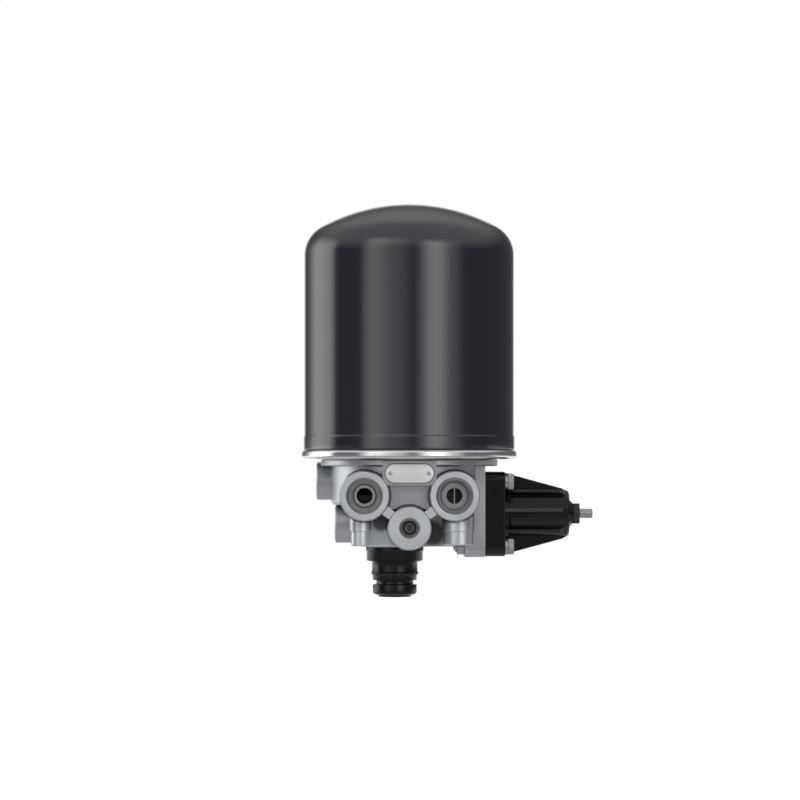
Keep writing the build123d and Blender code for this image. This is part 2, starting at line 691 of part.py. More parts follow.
def inner_ducts():
    """Bores of the hub, purge barrel and regulator, and the ducts that join them."""
    fit = SNAP_GROOVE_FIT
    purge = PURGE_AXIS * (rod(PURGE_BORE, PURGE_BOTTOM - EPS, PURGE_BORE_TOP)
                          + tube(PURGE_BORE + SNAP_RING_DEPTH + fit, PURGE_BORE - EPS,
                                 SNAP_GROOVE_TOP - SNAP_RING_THICK - fit, SNAP_GROOVE_TOP + fit))
    drain_y = AXIS_Y + PURGE_Y
    drain = Pos(DRAIN_X, drain_y, 0) * rod(DRAIN_DUCT, DRAIN_Z - DRAIN_DUCT, CHAMBER_FLOOR + EPS)
    cross = rod(DRAIN_CROSS, DRAIN_X, PURGE_X - PURGE_BORE + DRAIN_CROSS)
    drain += Pos(0, drain_y, DRAIN_Z) * Rot(0, 90, 0) * cross
    regeneration = Pos(0, AXIS_Y - REGENERATION_Y, 0) * rod(
        REGENERATION_DUCT, CONTROL_Z - REGENERATION_DUCT, HUB_BORE_FLOOR + REGENERATION_RISE)
    signal = to_right(rod(SIGNAL_DUCT, PURGE_X + PURGE_BORE - SIGNAL_REACH, REG_BORE_END + EPS),
                      REG_Z + SIGNAL_RISE)
    groove_top = HUB_TOP - HUB_GROOVE_TOP
    groove = CORE_AXIS * tube(THREAD_RADIUS, THREAD_RADIUS - THREAD_CLEARANCE - HUB_GROOVE_DEPTH,
                              groove_top - HUB_GROOVE_WIDTH, groove_top)
    spot_face = PURGE_AXIS * rod(NECK_LIP + SPOT_FACE_GAP, PURGE_BOTTOM - SPOT_FACE_DEPTH, PURGE_BOTTOM)
    return [CORE_AXIS * rod(HUB_BORE, HUB_BORE_FLOOR, HUB_TOP + EPS), groove, purge, spot_face, drain,
            regeneration, signal, delivery_line(DELIVERY_DUCT, EPS),
            to_right(rod(REG_BORE, REG_BORE_END, REG_FACE + EPS))]


def fixing_bores():
    """Tapped holes at the back and for the regulator's bolts."""
    bores = [Pos(x, EPS, z) * Rot(-90, 0, 0) * rod(FIXING_RADIUS, -FIXING_DEPTH - EPS, 0)
             for x, z in fixing_places()]
    for y, z, upper in bolt_places():
        start = REG_FACE - TAPPED_DEPTH if upper else REG_FACE - REG_PAD_THICK - EPS
        radius = BOLT_RADIUS + (0.05 if upper else BOLT_CLEARANCE)
        bores.append(to_right(rod(radius, start, REG_FACE + EPS), REG_Z + z, y))
    return bores


def housing():
    """Die-cast aluminium valve housing."""
    body = CORE_AXIS * cast_bowl()
    body += front_bosses() + front_walls() + pillars() + [purge_body()] + regulator_pad()
    body += left_bosses() + rear_bosses()
    trim = Pos(REG_FACE, AXIS_Y, DECK_TOP - DECK_THICK) * Box(
        BOWL_RADIUS, 4 * REG_PAD_HALF, 2 * BOWL_RADIUS, align=(Align.MIN, Align.CENTER, Align.MAX))
    chamber = CORE_AXIS * rod(CHAMBER_RADIUS, CHAMBER_FLOOR, DECK_TOP + EPS)
    body = body - [trim, chamber] + inner_castings()
    return body - port_bores() - inner_ducts() - fixing_bores()


def nameplate():
    """Blank metal plate with round ends and two rivet holes."""
    plate = extrude(SlotOverall(PLATE_LENGTH, PLATE_HEIGHT), PLATE_SHEET)
    holes = [Pos(x, 0, 0) * rod(RIVET_RADIUS / 2, -EPS, PLATE_SHEET + EPS) for x in rivet_places()]
    return to_front(plate - holes, 0, (PAD_TOP + PAD_BOTTOM) / 2 - PLATE_DROP, PAD_FACE)


def rivet_places():
    """X of the two rivets."""
    return (-RIVET_SPACING / 2, RIVET_SPACING / 2)


def nameplate_rivets():
    """Two domed rivets through the plate."""
    r, h, s = RIVET_RADIUS, RIVET_HEIGHT, PLATE_SHEET
    rivet = lathe((0, 0), (r / 2, 0), (r / 2, s), (r, s), (r * 0.75, s + h * 0.7), (0, s + h))
    z = (PAD_TOP + PAD_BOTTOM) / 2 - PLATE_DROP
    return [to_front(rivet, x, z, PAD_FACE) for x in rivet_places()]


def throttle_insert():
    """Steel insert with a driver socket and a fine orifice."""
    r, length = THROTTLE_RADIUS - VALVE_FIT, THROTTLE_LENGTH
    low = -CONTROL_DEPTH - THROTTLE_INSET - length
    socket = low + length - THROTTLE_SOCKET_DEPTH
    insert = lathe((THROTTLE_ORIFICE, low), (r, low), (r, low + length), (THROTTLE_SOCKET, low + length),
                   (THROTTLE_SOCKET, socket), (THROTTLE_ORIFICE, socket - THROTTLE_CONE))
    return to_front(insert, 0, CONTROL_Z)


def check_valve_cage():
    """Ring pressed into the outlet port, with one thin web across its opening."""
    high = -OUTLET_DEPTH - CAGE_INSET
    ring = tube(VALVE_BORE - VALVE_FIT, CAGE_HOLE, high - CAGE_THICK, high)
    web = Pos(0, 0, high - CAGE_THICK) * Box(CAGE_WEB, 2 * CAGE_HOLE + 1, CAGE_THICK,
                                            align=(Align.CENTER, Align.CENTER, Align.MIN))
    return to_front(ring + web, PORT_X, PORT_Z)


def check_valve_disc():
    """Valve disc with three guide wings that run in the port's bore."""
    low = -VALVE_BORE_DEPTH + VALVE_REST_GAP
    disc = rod(VALVE_DISC, low, low + VALVE_DISC_THICK)
    wing_in = VALVE_SPRING_RADIUS + 2 * VALVE_SPRING_WIRE
    wing = Pos(wing_in, 0, low) * Box(VALVE_BORE - VALVE_FIT - wing_in - 0.1, WING_THICK, WING_LENGTH,
                                     align=(Align.MIN, Align.CENTER, Align.MIN))
    return to_front(disc + ring_of(wing, WING_COUNT, 90), PORT_X, PORT_Z)


def check_valve_spring():
    """Light spring between the disc and the cage."""
    low = -VALVE_BORE_DEPTH + VALVE_REST_GAP + VALVE_DISC_THICK
    high = -OUTLET_DEPTH - CAGE_INSET - CAGE_THICK
    return to_front(coil(VALVE_SPRING_RADIUS, VALVE_SPRING_WIRE, low, high, VALVE_SPRING_TURNS),
                    PORT_X, PORT_Z)


def exhaust_neck():
    """Turned neck: valve seat and seal groove above, coupling rings below."""
    fit = PURGE_BORE - PURGE_FIT
    ring_in, ring_low = PURGE_BORE - 2 * RING_SECTION, RING_GROOVE_TOP - RING_GROOVE
    snap_in = PURGE_BORE - SNAP_RING_DEPTH - SNAP_GROOVE_FIT
    snap_top = SNAP_GROOVE_TOP + SNAP_GROOVE_FIT
    snap_low = SNAP_GROOVE_TOP - SNAP_RING_THICK - SNAP_GROOVE_FIT
    edge = NECK_EDGE
    outline = [
        (SEAT_HOLE, SEAT_TOP), (fit, SEAT_TOP), (fit, RING_GROOVE_TOP), (ring_in, RING_GROOVE_TOP),
        (ring_in, ring_low), (fit, ring_low), (fit, snap_top), (snap_in, snap_top),
        (snap_in, snap_low), (fit, snap_low), (fit, PURGE_BOTTOM), (NECK_LIP, PURGE_BOTTOM),
        (NECK_LIP, NECK_LIP_BOTTOM), (NECK_COLLAR, NECK_LIP_BOTTOM - edge),
        (NECK_COLLAR, NECK_COLLAR_BOTTOM), (NECK_BODY, NECK_BODY_TOP), (NECK_BODY, NECK_BODY_BOTTOM),
        (NECK_RIDGE, NECK_RIDGE_TOP), (NECK_RIDGE, NECK_RIDGE_BOTTOM), (NECK_RING, NECK_RING_TOP),
        (NECK_RING, NECK_RING_BOTTOM), (NECK_GROOVE, NECK_GROOVE_TOP), (NECK_GROOVE, NECK_GROOVE_BOTTOM),
        (NECK_RING, NECK_FOOT_TOP), (NECK_RING, NECK_FOOT_BOTTOM),
        (NECK_RING - NECK_FOOT_ROUND, NECK_FOOT_BOTTOM - NECK_FOOT_ROUND),
        (NECK_TIP, NECK_BOTTOM + NECK_FOOT_ROUND), (NECK_TIP, NECK_BOTTOM), (NECK_OUTLET, NECK_BOTTOM),
        (NECK_OUTLET, NECK_INNER_BOTTOM), (NECK_INNER, NECK_INNER_BOTTOM + NECK_INNER - NECK_OUTLET),
        (NECK_INNER, SEAT_TOP - SEAT_THICK), (SEAT_HOLE, SEAT_TOP - SEAT_THICK),
    ]
    return PURGE_AXIS * lathe(*outline)


def neck_seal():
    """O-ring around the neck's spigot."""
    middle = RING_GROOVE_TOP - RING_GROOVE / 2
    return PURGE_AXIS * o_ring(PURGE_BORE - RING_SECTION, RING_SECTION - RING_SQUEEZE, middle)


def neck_retaining_ring():
    """Split ring that locks the neck in the barrel."""
    low = SNAP_GROOVE_TOP - SNAP_RING_THICK
    ring = tube(PURGE_BORE + SNAP_RING_DEPTH, PURGE_BORE - SNAP_RING_DEPTH, low, SNAP_GROOVE_TOP)
    slit = Pos(0, PURGE_BORE, low) * Box(SNAP_RING_SLIT, 6 * SNAP_RING_DEPTH, 4 * SNAP_RING_THICK)
    return PURGE_AXIS * (ring - slit)


def purge_piston():
    """Piston with its stem through the valve seat."""
    top = PURGE_BORE_TOP - PISTON_TOP_GAP
    low = top - PISTON_THICK
    r = PURGE_BORE - PISTON_FIT
    skirt = r - PISTON_SKIRT
    inner = skirt - PISTON_RECESS_WIDTH
    groove = top - PISTON_LAND
    ring_in = PURGE_BORE - 2 * RING_SECTION
    stem_end = exhaust_disc_top() - EXHAUST_DISC_THICK - STEM_BELOW_DISC
    outline = [
        (0, top), (r, top), (r, groove), (ring_in, groove), (ring_in, groove - RING_GROOVE),
        (r, groove - RING_GROOVE), (r, low), (skirt, low), (skirt, low + PISTON_RECESS),
        (inner, low + PISTON_RECESS), (inner, low), (STEM_RADIUS + STEM_FILLET, low),
        (STEM_RADIUS, low - STEM_FILLET), (STEM_RADIUS, stem_end), (0, stem_end),
    ]
    return PURGE_AXIS * lathe(*outline)


def purge_piston_seal():
    """O-ring in the piston's groove."""
    middle = PURGE_BORE_TOP - PISTON_TOP_GAP - PISTON_LAND - RING_GROOVE / 2
    return PURGE_AXIS * o_ring(PURGE_BORE - RING_SECTION, RING_SECTION - RING_SQUEEZE, middle)


def exhaust_disc_top():
    """Height of the exhaust disc's upper face, just under the seat."""
    return SEAT_TOP - SEAT_THICK - EXHAUST_REST_GAP


def exhaust_valve_disc():
    """Rubber-faced disc that closes the seat from below."""
    high = exhaust_disc_top()
    return PURGE_AXIS * tube(EXHAUST_DISC, STEM_RADIUS, high - EXHAUST_DISC_THICK, high)


def exhaust_valve_nut():
    """Nut that holds the disc on the stem."""
    low = exhaust_disc_top() - EXHAUST_DISC_THICK - EXHAUST_NUT_THICK
    nut = extrude(RegularPolygon(EXHAUST_NUT_FLATS / 2, 6, major_radius=False), EXHAUST_NUT_THICK)
    return PURGE_AXIS * Pos(0, 0, low) * (nut - rod(STEM_RADIUS, -EPS, 2 * EXHAUST_NUT_THICK))


def purge_spring():
    """Return spring between the valve seat and the piston."""
    high = PURGE_BORE_TOP - PISTON_TOP_GAP - PISTON_THICK + PISTON_RECESS
    radius = PURGE_BORE - PURGE_SPRING_INSET
    return PURGE_AXIS * coil(radius, PURGE_SPRING_WIRE, SEAT_TOP, high, PURGE_SPRING_TURNS)


def tapered_rib():
    """Rib in the XZ plane that falls from the flange to the end of the cover."""
    start, half = REG_FACE + COVER_FLANGE - EPS, RIB_WIDTH / 2
    outline = Polyline((start, 0), (start, RIB_TALL), (RIB_END - RIB_TIP_SLOPE, COVER_HUB + RIB_TIP_STAND),
                       (RIB_END, COVER_HUB - RIB_TIP_DROP), (RIB_END, 0), close=True)
    return Pos(0, half, 0) * extrude(make_face(Plane.XZ * outline), 2 * half)


def low_rib():
    """Low rib in the XZ plane between two tall ones."""
    start, half = REG_FACE + COVER_FLANGE - EPS, RIB_WIDTH / 2
    outline = Polyline((start, 0), (start, RIB_LOW), (LOW_RIB_END, RIB_LOW),
                       (RIB_END, COVER_HUB - RIB_TIP_DROP), (RIB_END, 0), close=True)
    return Pos(0, half, 0) * extrude(make_face(Plane.XZ * outline), 2 * half)


def regulator_cover():
    """Black cast cover: square flange, round spring tower, four tall and four low ribs."""
    flange = extrude(RectangleRounded(COVER_SQUARE, COVER_SQUARE, COVER_ROUND), COVER_FLANGE)
    flange = chamfer(flange.edges().group_by(Axis.Z)[-1], COVER_FLANGE_EDGE)
    flange = to_right(Pos(0, 0, REG_FACE) * flange)
    base = REG_FACE + COVER_FLANGE
    e = COVER_END_ROUND
    step = base + COVER_BASE_LENGTH
    tower = lathe((0, base - EPS), (COVER_BASE, base - EPS), (COVER_BASE, step - COVER_BASE_SLOPE),
                  (COVER_HUB, step), (COVER_HUB, COVER_END - e), (COVER_HUB - e, COVER_END),
                  (COVER_TIP + COVER_TIP_STEP, COVER_END), (COVER_TIP, COVER_END + COVER_TIP_RISE),
                  (LOCK_NUT_FLATS / 2, COVER_TIP_END), (0, COVER_TIP_END))
    cover = flange + to_right(tower)
    centre = Pos(0, AXIS_Y, REG_Z)
    for i in range(4):
        cover += centre * Rot(90 * i, 0, 0) * tapered_rib()
        cover += centre * Rot(90 * i + 45, 0, 0) * low_rib()
    cover -= to_right(rod(COVER_BORE, REG_FACE - EPS, COVER_BORE_END))
    cover -= to_right(rod(SCREW_RADIUS + SCREW_FIT, COVER_BORE_END - EPS, COVER_TIP_END + EPS))
    wide = FACE_SEAL_SECTION + FACE_SEAL_FIT
    cover -= to_right(tube(FACE_SEAL_RADIUS + wide, FACE_SEAL_RADIUS - wide,
                           REG_FACE - EPS, REG_FACE + 2 * FACE_SEAL_SECTION))
    for y, z, upper in bolt_places():
        cover -= to_right(rod(BOLT_RADIUS + BOLT_CLEARANCE, REG_FACE - EPS, base + EPS), REG_Z + z, y)
    return cover


def regulator_face_seal():
    """O-ring between the housing and the cover."""
    return to_right(o_ring(FACE_SEAL_RADIUS, FACE_SEAL_SECTION - RING_SQUEEZE, REG_FACE + FACE_SEAL_SECTION))


def piston_head_end():
    """X of the piston head's spring face."""
    return REG_FACE + PISTON_REST_GAP + PISTON_HEAD_LENGTH


def regulator_piston():
    """Stepped piston: stem in the housing, head in the cover, boss inside the spring."""
    start = REG_FACE + PISTON_REST_GAP
    end = piston_head_end()
    stem, head = REG_BORE - PISTON_FIT, COVER_BORE - PISTON_FIT
    groove, edge = PISTON_STEM_END + PISTON_GROOVE, PISTON_EDGE
    ring_in = REG_BORE - 2 * RING_SECTION
    outline = [
        (0, PISTON_STEM_END), (stem - edge, PISTON_STEM_END), (stem, PISTON_STEM_END + edge),
        (stem, groove), (ring_in, groove), (ring_in, groove + RING_GROOVE),
        (stem, groove + RING_GROOVE), (stem, start), (head, start), (head, end),
        (SPRING_GUIDE, end), (SPRING_GUIDE, end + PISTON_BOSS - edge),
        (SPRING_GUIDE - edge, end + PISTON_BOSS), (0, end + PISTON_BOSS),
    ]
    return to_right(lathe(*outline))


def regulator_piston_seal():
    """O-ring on the piston's stem."""
    middle = PISTON_STEM_END + PISTON_GROOVE + RING_GROOVE / 2
    return to_right(o_ring(REG_BORE - RING_SECTION, RING_SECTION - RING_SQUEEZE, middle))


def regulator_spring():
    """Strong spring that sets the switching pressure."""
    low = piston_head_end()
    return to_right(coil(SPRING_RADIUS, SPRING_WIRE, low, low + SPRING_LENGTH, SPRING_TURNS))


def regulator_spring_seat():
    """Seat between the spring and the adjusting screw, with a dimple for its tip."""
    low = piston_head_end() + SPRING_LENGTH
    high = low + SPRING_SEAT_THICK
    r, g, c, edge = SPRING_SEAT_RADIUS, SPRING_GUIDE, SCREW_RADIUS, PISTON_EDGE
    nose = low - PISTON_BOSS
    seat = lathe((0, nose), (g - edge, nose), (g, nose + edge), (g, low), (r, low), (r, high),
                 (c, high), (0, high - SCREW_CONE))
    return to_right(seat)


def adjusting_screw():
    """Pointed screw through the cover's end, with a turned and slotted outer end."""
    tip = piston_head_end() + SPRING_LENGTH + SPRING_SEAT_THICK - SCREW_CONE
    r, t, s = SCREW_RADIUS, SCREW_TURNED, SCREW_TURNED_START
    fit, edge = SCREW_FIT, SCREW_EDGE
    cone = lathe((0, tip + fit), (r, tip + SCREW_CONE + fit), (r, s - r + t), (t, s),
                 (t, SCREW_END - edge), (t - edge, SCREW_END), (0, SCREW_END))
    slot = Pos(0, 0, SCREW_END) * Box(3 * t, SCREW_SLOT, 2 * SCREW_SLOT_DEPTH)
    return to_right(cone - slot)


def lock_nut():
    """Thin hexagon nut that locks the adjusting screw."""
    nut = hex_nut(LOCK_NUT_FLATS, LOCK_NUT_THICK, SCREW_RADIUS + SCREW_FIT)
    return to_right(Pos(0, 0, COVER_TIP_END) * nut)


def hex_nut(flats, height, bore):
    """Hexagon nut on Z with its corners turned off on both faces."""
    nut = extrude(RegularPolygon(flats / 2, 6, major_radius=False, rotation=30), height)
    corner = flats / math.sqrt(3)
    turned = rod(corner, 0, height)
    cut = corner - flats / 2
    turned = chamfer(turned.edges(), length=cut * NUT_CORNER_SLOPE, length2=cut)
    nut = nut & turned
    return nut - rod(bore, -EPS, height + EPS) if bore else nut


def regulator_bolt(end):
    """Hexagon bolt on its own axis, from the cover's flange to an end X."""
    under = REG_FACE + COVER_FLANGE + WASHER_THICK
    head = Pos(0, 0, under) * hex_nut(BOLT_HEAD_FLATS, BOLT_HEAD_HEIGHT, 0)
    shank = chamfer(rod(BOLT_RADIUS, end, under + EPS).edges().group_by(Axis.Z)[0], BOLT_TIP)
    return head + shank


def regulator_bolts(upper):
    """The two bolts of one row: short in tapped holes above, long with nuts below."""
    end = REG_FACE - TAPPED_DEPTH + BOLT_TIP if upper else REG_FACE - REG_PAD_THICK - NUT_THICK - BOLT_END
    return [to_right(regulator_bolt(end), REG_Z + z, y) for y, z, row in bolt_places() if row == upper]


def regulator_nuts():
    """Nuts on the two lower bolts."""
    low = REG_FACE - REG_PAD_THICK - NUT_THICK
    nut = Pos(0, 0, low) * hex_nut(BOLT_HEAD_FLATS, NUT_THICK, BOLT_RADIUS)
    return [to_right(nut, REG_Z + z, y) for y, z, upper in bolt_places() if not upper]


def lock_washers():
    """Split washers under the four bolt heads."""
    low = REG_FACE + COVER_FLANGE
    ring = tube(WASHER_RADIUS, BOLT_RADIUS, low, low + WASHER_THICK)
    slit = Pos(0, WASHER_RADIUS, low) * Box(WASHER_SLIT, 2 * WASHER_RADIUS, 4 * WASHER_THICK)
    return [to_right(ring - slit, REG_Z + z, y) for y, z, upper in bolt_places()]


def on_axis(shape):
    """Moves a cartridge piece from the Z axis to the cartridge's axis."""
    return CORE_AXIS * shape


def save(name, shape):
    """Writes one sub-part; a list of shapes stays a group of separate solids."""
    if isinstance(shape, list):
        shape = Compound(children=shape)
    export_step(shape, "parts/" + name + ".step")


os.makedirs("parts", exist_ok=True)

save("cartridge_shell", on_axis(cartridge_shell()))
save("seam_lid", on_axis(seam_lid()))
save("base_plate", on_axis(base_plate()))
save("cartridge_seal_ring", on_axis(seal_ring()))
save("centre_seal_ring", on_axis(centre_seal_ring()))
save("desiccant_canister", on_axis(desiccant_canister()))
save("lower_perforated_disc", on_axis(perforated_disc(LEDGE_TOP)))
save("lower_fleece", on_axis(fleece(LEDGE_TOP + DISC_THICK)))
save("desiccant_bed", on_axis(rod(CANISTER_IN - DISC_GAP, BED_LOW, BED_TOP)))
save("upper_fleece", on_axis(fleece(BED_TOP)))
save("upper_perforated_disc", on_axis(perforated_disc(BED_TOP + FLEECE_THICK)))
save("oil_filter_ring", on_axis(oil_filter_ring()))
save("cartridge_spring", on_axis(cartridge_spring()))
save("housing", housing())
save("nameplate", nameplate())
save("nameplate_rivets", nameplate_rivets())
save("throttle_insert", throttle_insert())
save("check_valve_cage", check_valve_cage())
save("check_valve_disc", check_valve_disc())
save("check_valve_spring", check_valve_spring())
save("exhaust_neck", exhaust_neck())
save("neck_seal", neck_seal())
save("neck_retaining_ring", neck_retaining_ring())
save("purge_piston", purge_piston())
save("purge_piston_seal", purge_piston_seal())
save("exhaust_valve_disc", exhaust_valve_disc())
save("exhaust_valve_nut", exhaust_valve_nut())
save("purge_spring", purge_spring())
save("regulator_cover", regulator_cover())
save("regulator_face_seal", regulator_face_seal())
save("regulator_piston", regulator_piston())
save("regulator_piston_seal", regulator_piston_seal())
save("regulator_spring", regulator_spring())
save("regulator_spring_seat", regulator_spring_seat())
save("adjusting_screw", adjusting_screw())
save("lock_nut", lock_nut())
save("regulator_upper_bolts", regulator_bolts(True))
save("regulator_lower_bolts", regulator_bolts(False))
save("regulator_nuts", regulator_nuts())
save("lock_washers", lock_washers())
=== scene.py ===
"""Looks of an air dryer: desiccant cartridge, valve housing, exhaust neck and pressure regulator.

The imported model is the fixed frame. Some pieces are made finer here and stand for their CAD
nodes; every other node keeps its shape and gets a finish. Shapes are in millimetres and are
turned into metres where a mesh is made; finishes and the studio are in metres. +Z is up and the
front faces -Y.
"""

import logging
import math
from collections.abc import Iterable, Sequence
from dataclasses import dataclass
from enum import Enum
from typing import Any

import bmesh
import bpy
from mathutils import Matrix, Vector


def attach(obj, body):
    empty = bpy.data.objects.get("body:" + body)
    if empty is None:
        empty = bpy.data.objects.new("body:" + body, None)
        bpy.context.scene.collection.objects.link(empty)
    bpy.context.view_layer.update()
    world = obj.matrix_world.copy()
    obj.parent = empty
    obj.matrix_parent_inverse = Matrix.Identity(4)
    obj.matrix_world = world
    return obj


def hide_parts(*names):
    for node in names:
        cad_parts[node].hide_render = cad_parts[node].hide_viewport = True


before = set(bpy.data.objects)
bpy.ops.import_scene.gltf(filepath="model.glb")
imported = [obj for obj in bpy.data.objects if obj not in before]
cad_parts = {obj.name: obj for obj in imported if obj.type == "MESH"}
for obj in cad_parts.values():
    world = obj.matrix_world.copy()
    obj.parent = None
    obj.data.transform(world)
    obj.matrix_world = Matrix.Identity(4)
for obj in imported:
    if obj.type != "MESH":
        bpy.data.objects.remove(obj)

LOG = logging.getLogger("air_dryer")
MM = 0.001
TINY = 1e-6
JOINED = 1e-7
NEARLY_STRAIGHT = math.radians(172)
BROKEN_EDGE = 0.15
HOUSING_BODY = "root"
Colour = tuple[float, float, float]
Span = tuple[float, float]
Outline = list[tuple[float, float]]


class Slot(Enum):
    """Material slots of the record that new pieces take."""

    ENAMEL = "black_enamel"
    SEAM = "bright_seam"
    STEEL = "plain_steel"
    CASTING = "cast_aluminium"
    PLATE = "plate_metal"
    ZINC = "zinc_steel"
    BLACK_CASTING = "black_cast"
    BLACK_PLASTIC = "black_plastic"


class Axis(Enum):
    """Index of a coordinate in a vector."""

    X = 0
    Y = 1
    Z = 2


# Node trees


@dataclass(frozen=True)
class Value:
    """An output socket that stands in ordinary number expressions."""

    tree: "Tree"
    socket: bpy.types.NodeSocket

    def _math(self, operation: str, first: Any, second: Any) -> "Value":
        """Adds one Math node for an operation on two numbers."""
        return self.tree.node("ShaderNodeMath", {"operation": operation}, {0: first, 1: second})

    def __add__(self, other: Any) -> "Value":
        """Sum."""
        return self._math("ADD", self, other)

    def __radd__(self, other: Any) -> "Value":
        """Sum with a plain number on the left."""
        return self._math("ADD", other, self)

    def __sub__(self, other: Any) -> "Value":
        """Difference."""
        return self._math("SUBTRACT", self, other)

    def __rsub__(self, other: Any) -> "Value":
        """Difference with a plain number on the left."""
        return self._math("SUBTRACT", other, self)

    def __mul__(self, other: Any) -> "Value":
        """Product."""
        return self._math("MULTIPLY", self, other)

    def __rmul__(self, other: Any) -> "Value":
        """Product with a plain number on the left."""
        return self._math("MULTIPLY", other, self)

    def most(self, other: Any) -> "Value":
        """The larger of two."""
        return self._math("MAXIMUM", self, other)


class Tree:
    """Builder of one node tree, for a material, a lamp or the world."""

    def __init__(self, owner: bpy.types.Material | bpy.types.World | bpy.types.Light) -> None:
        """Empties the owner's node tree.

        Args:
            owner: Material, lamp or world whose nodes are written.
        """
        owner.use_nodes = True
        self.nodes = owner.node_tree.nodes
        self.links = owner.node_tree.links
        self.nodes.clear()

    def node(self, kind: str, settings: dict[str, Any] | None = None,
             inputs: dict[int | str, Any] | None = None, output: int | str = 0) -> Value:
        """Adds a node of any type.

        Args:
            kind: Blender's name of the node type.
            settings: Attributes set first; "stops" holds a colour ramp's stops.
            inputs: Values or links by socket name or index.
            output: Output socket that is wanted.

        Returns:
            The output socket as a value, or the first input of a node that has no outputs.
        """
        made = self.nodes.new(kind)
        for key, setting in (settings or {}).items():
            if key == "stops":
                self._set_stops(made.color_ramp, setting)
            else:
                setattr(made, key, setting)
        for key, given in (inputs or {}).items():
            if isinstance(given, Value):
                self.links.new(given.socket, made.inputs[key])
            else:
                made.inputs[key].default_value = given
        sockets = made.outputs if len(made.outputs) else made.inputs
        return Value(self, sockets[output])

    @staticmethod
    def _set_stops(ramp: bpy.types.ColorRamp, stops: Sequence[tuple[float, Colour]]) -> None:
        """Writes a colour ramp's stops.

        Args:
            ramp: Ramp with Blender's two first stops.
            stops: Position and colour of each stop, in rising order.
        """
        for end, (place, colour) in ((0, stops[0]), (-1, stops[-1])):
            ramp.elements[end].position = place
            ramp.elements[end].color = (*colour, 1.0)
        for place, colour in stops[1:-1]:
            ramp.elements.new(place).color = (*colour, 1.0)

    def place(self) -> Value:
        """The point on the piece, in its own coordinates, which move with its body."""
        return self.node("ShaderNodeTexCoord", output="Object")

    def parts(self, vector: Value) -> tuple[Value, Value, Value]:
        """X, Y and Z of a vector.

        Args:
            vector: Vector that is split.

        Returns:
            Its three coordinates.
        """
        first = self.node("ShaderNodeSeparateXYZ", inputs={0: vector})
        outputs = first.socket.node.outputs
        return tuple(Value(self, outputs[axis.value]) for axis in Axis)

    def stretched(self, vector: Value, by: tuple[float, float, float]) -> Value:
        """A vector with its three parts multiplied."""
        return self.node("ShaderNodeVectorMath", {"operation": "MULTIPLY"}, {0: vector, 1: by})

    def distance(self, vector: Value, point: tuple[float, float, float],
                 along: tuple[float, float, float]) -> Value:
        """Distance from a line through a point.

        Args:
            vector: Place that is measured.
            point: A point of the line.
            along: Ones for the two directions that count and zero for the line's own.

        Returns:
            Distance in metres.
        """
        offset = self.node("ShaderNodeVectorMath", {"operation": "SUBTRACT"}, {0: vector, 1: point})
        return self.node("ShaderNodeVectorMath", {"operation": "LENGTH"},
                         {0: self.stretched(offset, along)}, "Value")

    def noise(self, vector: Value, scale: float, detail: float = 2.0, rough: float = 0.5) -> Value:
        """Soft noise about 0.5 at a number of cells to the metre."""
        return self.node("ShaderNodeTexNoise", {"noise_dimensions": "3D"},
                         {"Vector": vector, "Scale": scale, "Detail": detail, "Roughness": rough}, "Fac")

    def cells(self, vector: Value, scale: float) -> Value:
        """Distance from the nearest point of a Voronoi pattern."""
        return self.node("ShaderNodeTexVoronoi", {"feature": "F1"},
                         {"Vector": vector, "Scale": scale}, "Distance")

    def sine(self, value: Value) -> Value:
        """Sine of an angle."""
        return self.node("ShaderNodeMath", {"operation": "SINE"}, {0: value})

    def step(self, value: Value, low: float, high: float) -> Value:
        """Smooth rise from 0 at low to 1 at high."""
        return self.node("ShaderNodeMapRange", {"interpolation_type": "SMOOTHSTEP"},
                         {0: value, 1: low, 2: high, 3: 0.0, 4: 1.0})

    def mixed(self, factor: Value | float, first: Any, second: Any) -> Value:
        """A colour between two, each a link or a plain colour."""
        inputs = {0: factor, 6: self._rgba(first), 7: self._rgba(second)}
        return self.node("ShaderNodeMix", {"data_type": "RGBA"}, inputs, 2)

    @staticmethod
    def _rgba(colour: Any) -> Any:
        """A plain colour with its alpha, or the link as it is."""
        return colour if isinstance(colour, Value) else (*colour, 1.0)

    def shine(self, colour: Any, amount: Value) -> Value:
        """A colour made lighter or darker by a factor that varies.

        Args:
            colour: Link or plain colour.
            amount: Factor, where 1 leaves the colour as it is.

        Returns:
            The new colour.
        """
        grey = self.node("ShaderNodeCombineColor", inputs={0: amount, 1: amount, 2: amount})
        inputs = {0: 1.0, 6: self._rgba(colour), 7: grey}
        return self.node("ShaderNodeMix", {"data_type": "RGBA", "blend_type": "MULTIPLY"}, inputs, 2)


# Finishes


@dataclass(frozen=True)
class Surface:
    """What a finish feeds to the shader: links or plain values."""

    colour: Any
    roughness: Any
    metallic: Any = 0.0
    height: Value | None = None
    relief: float = 0.0


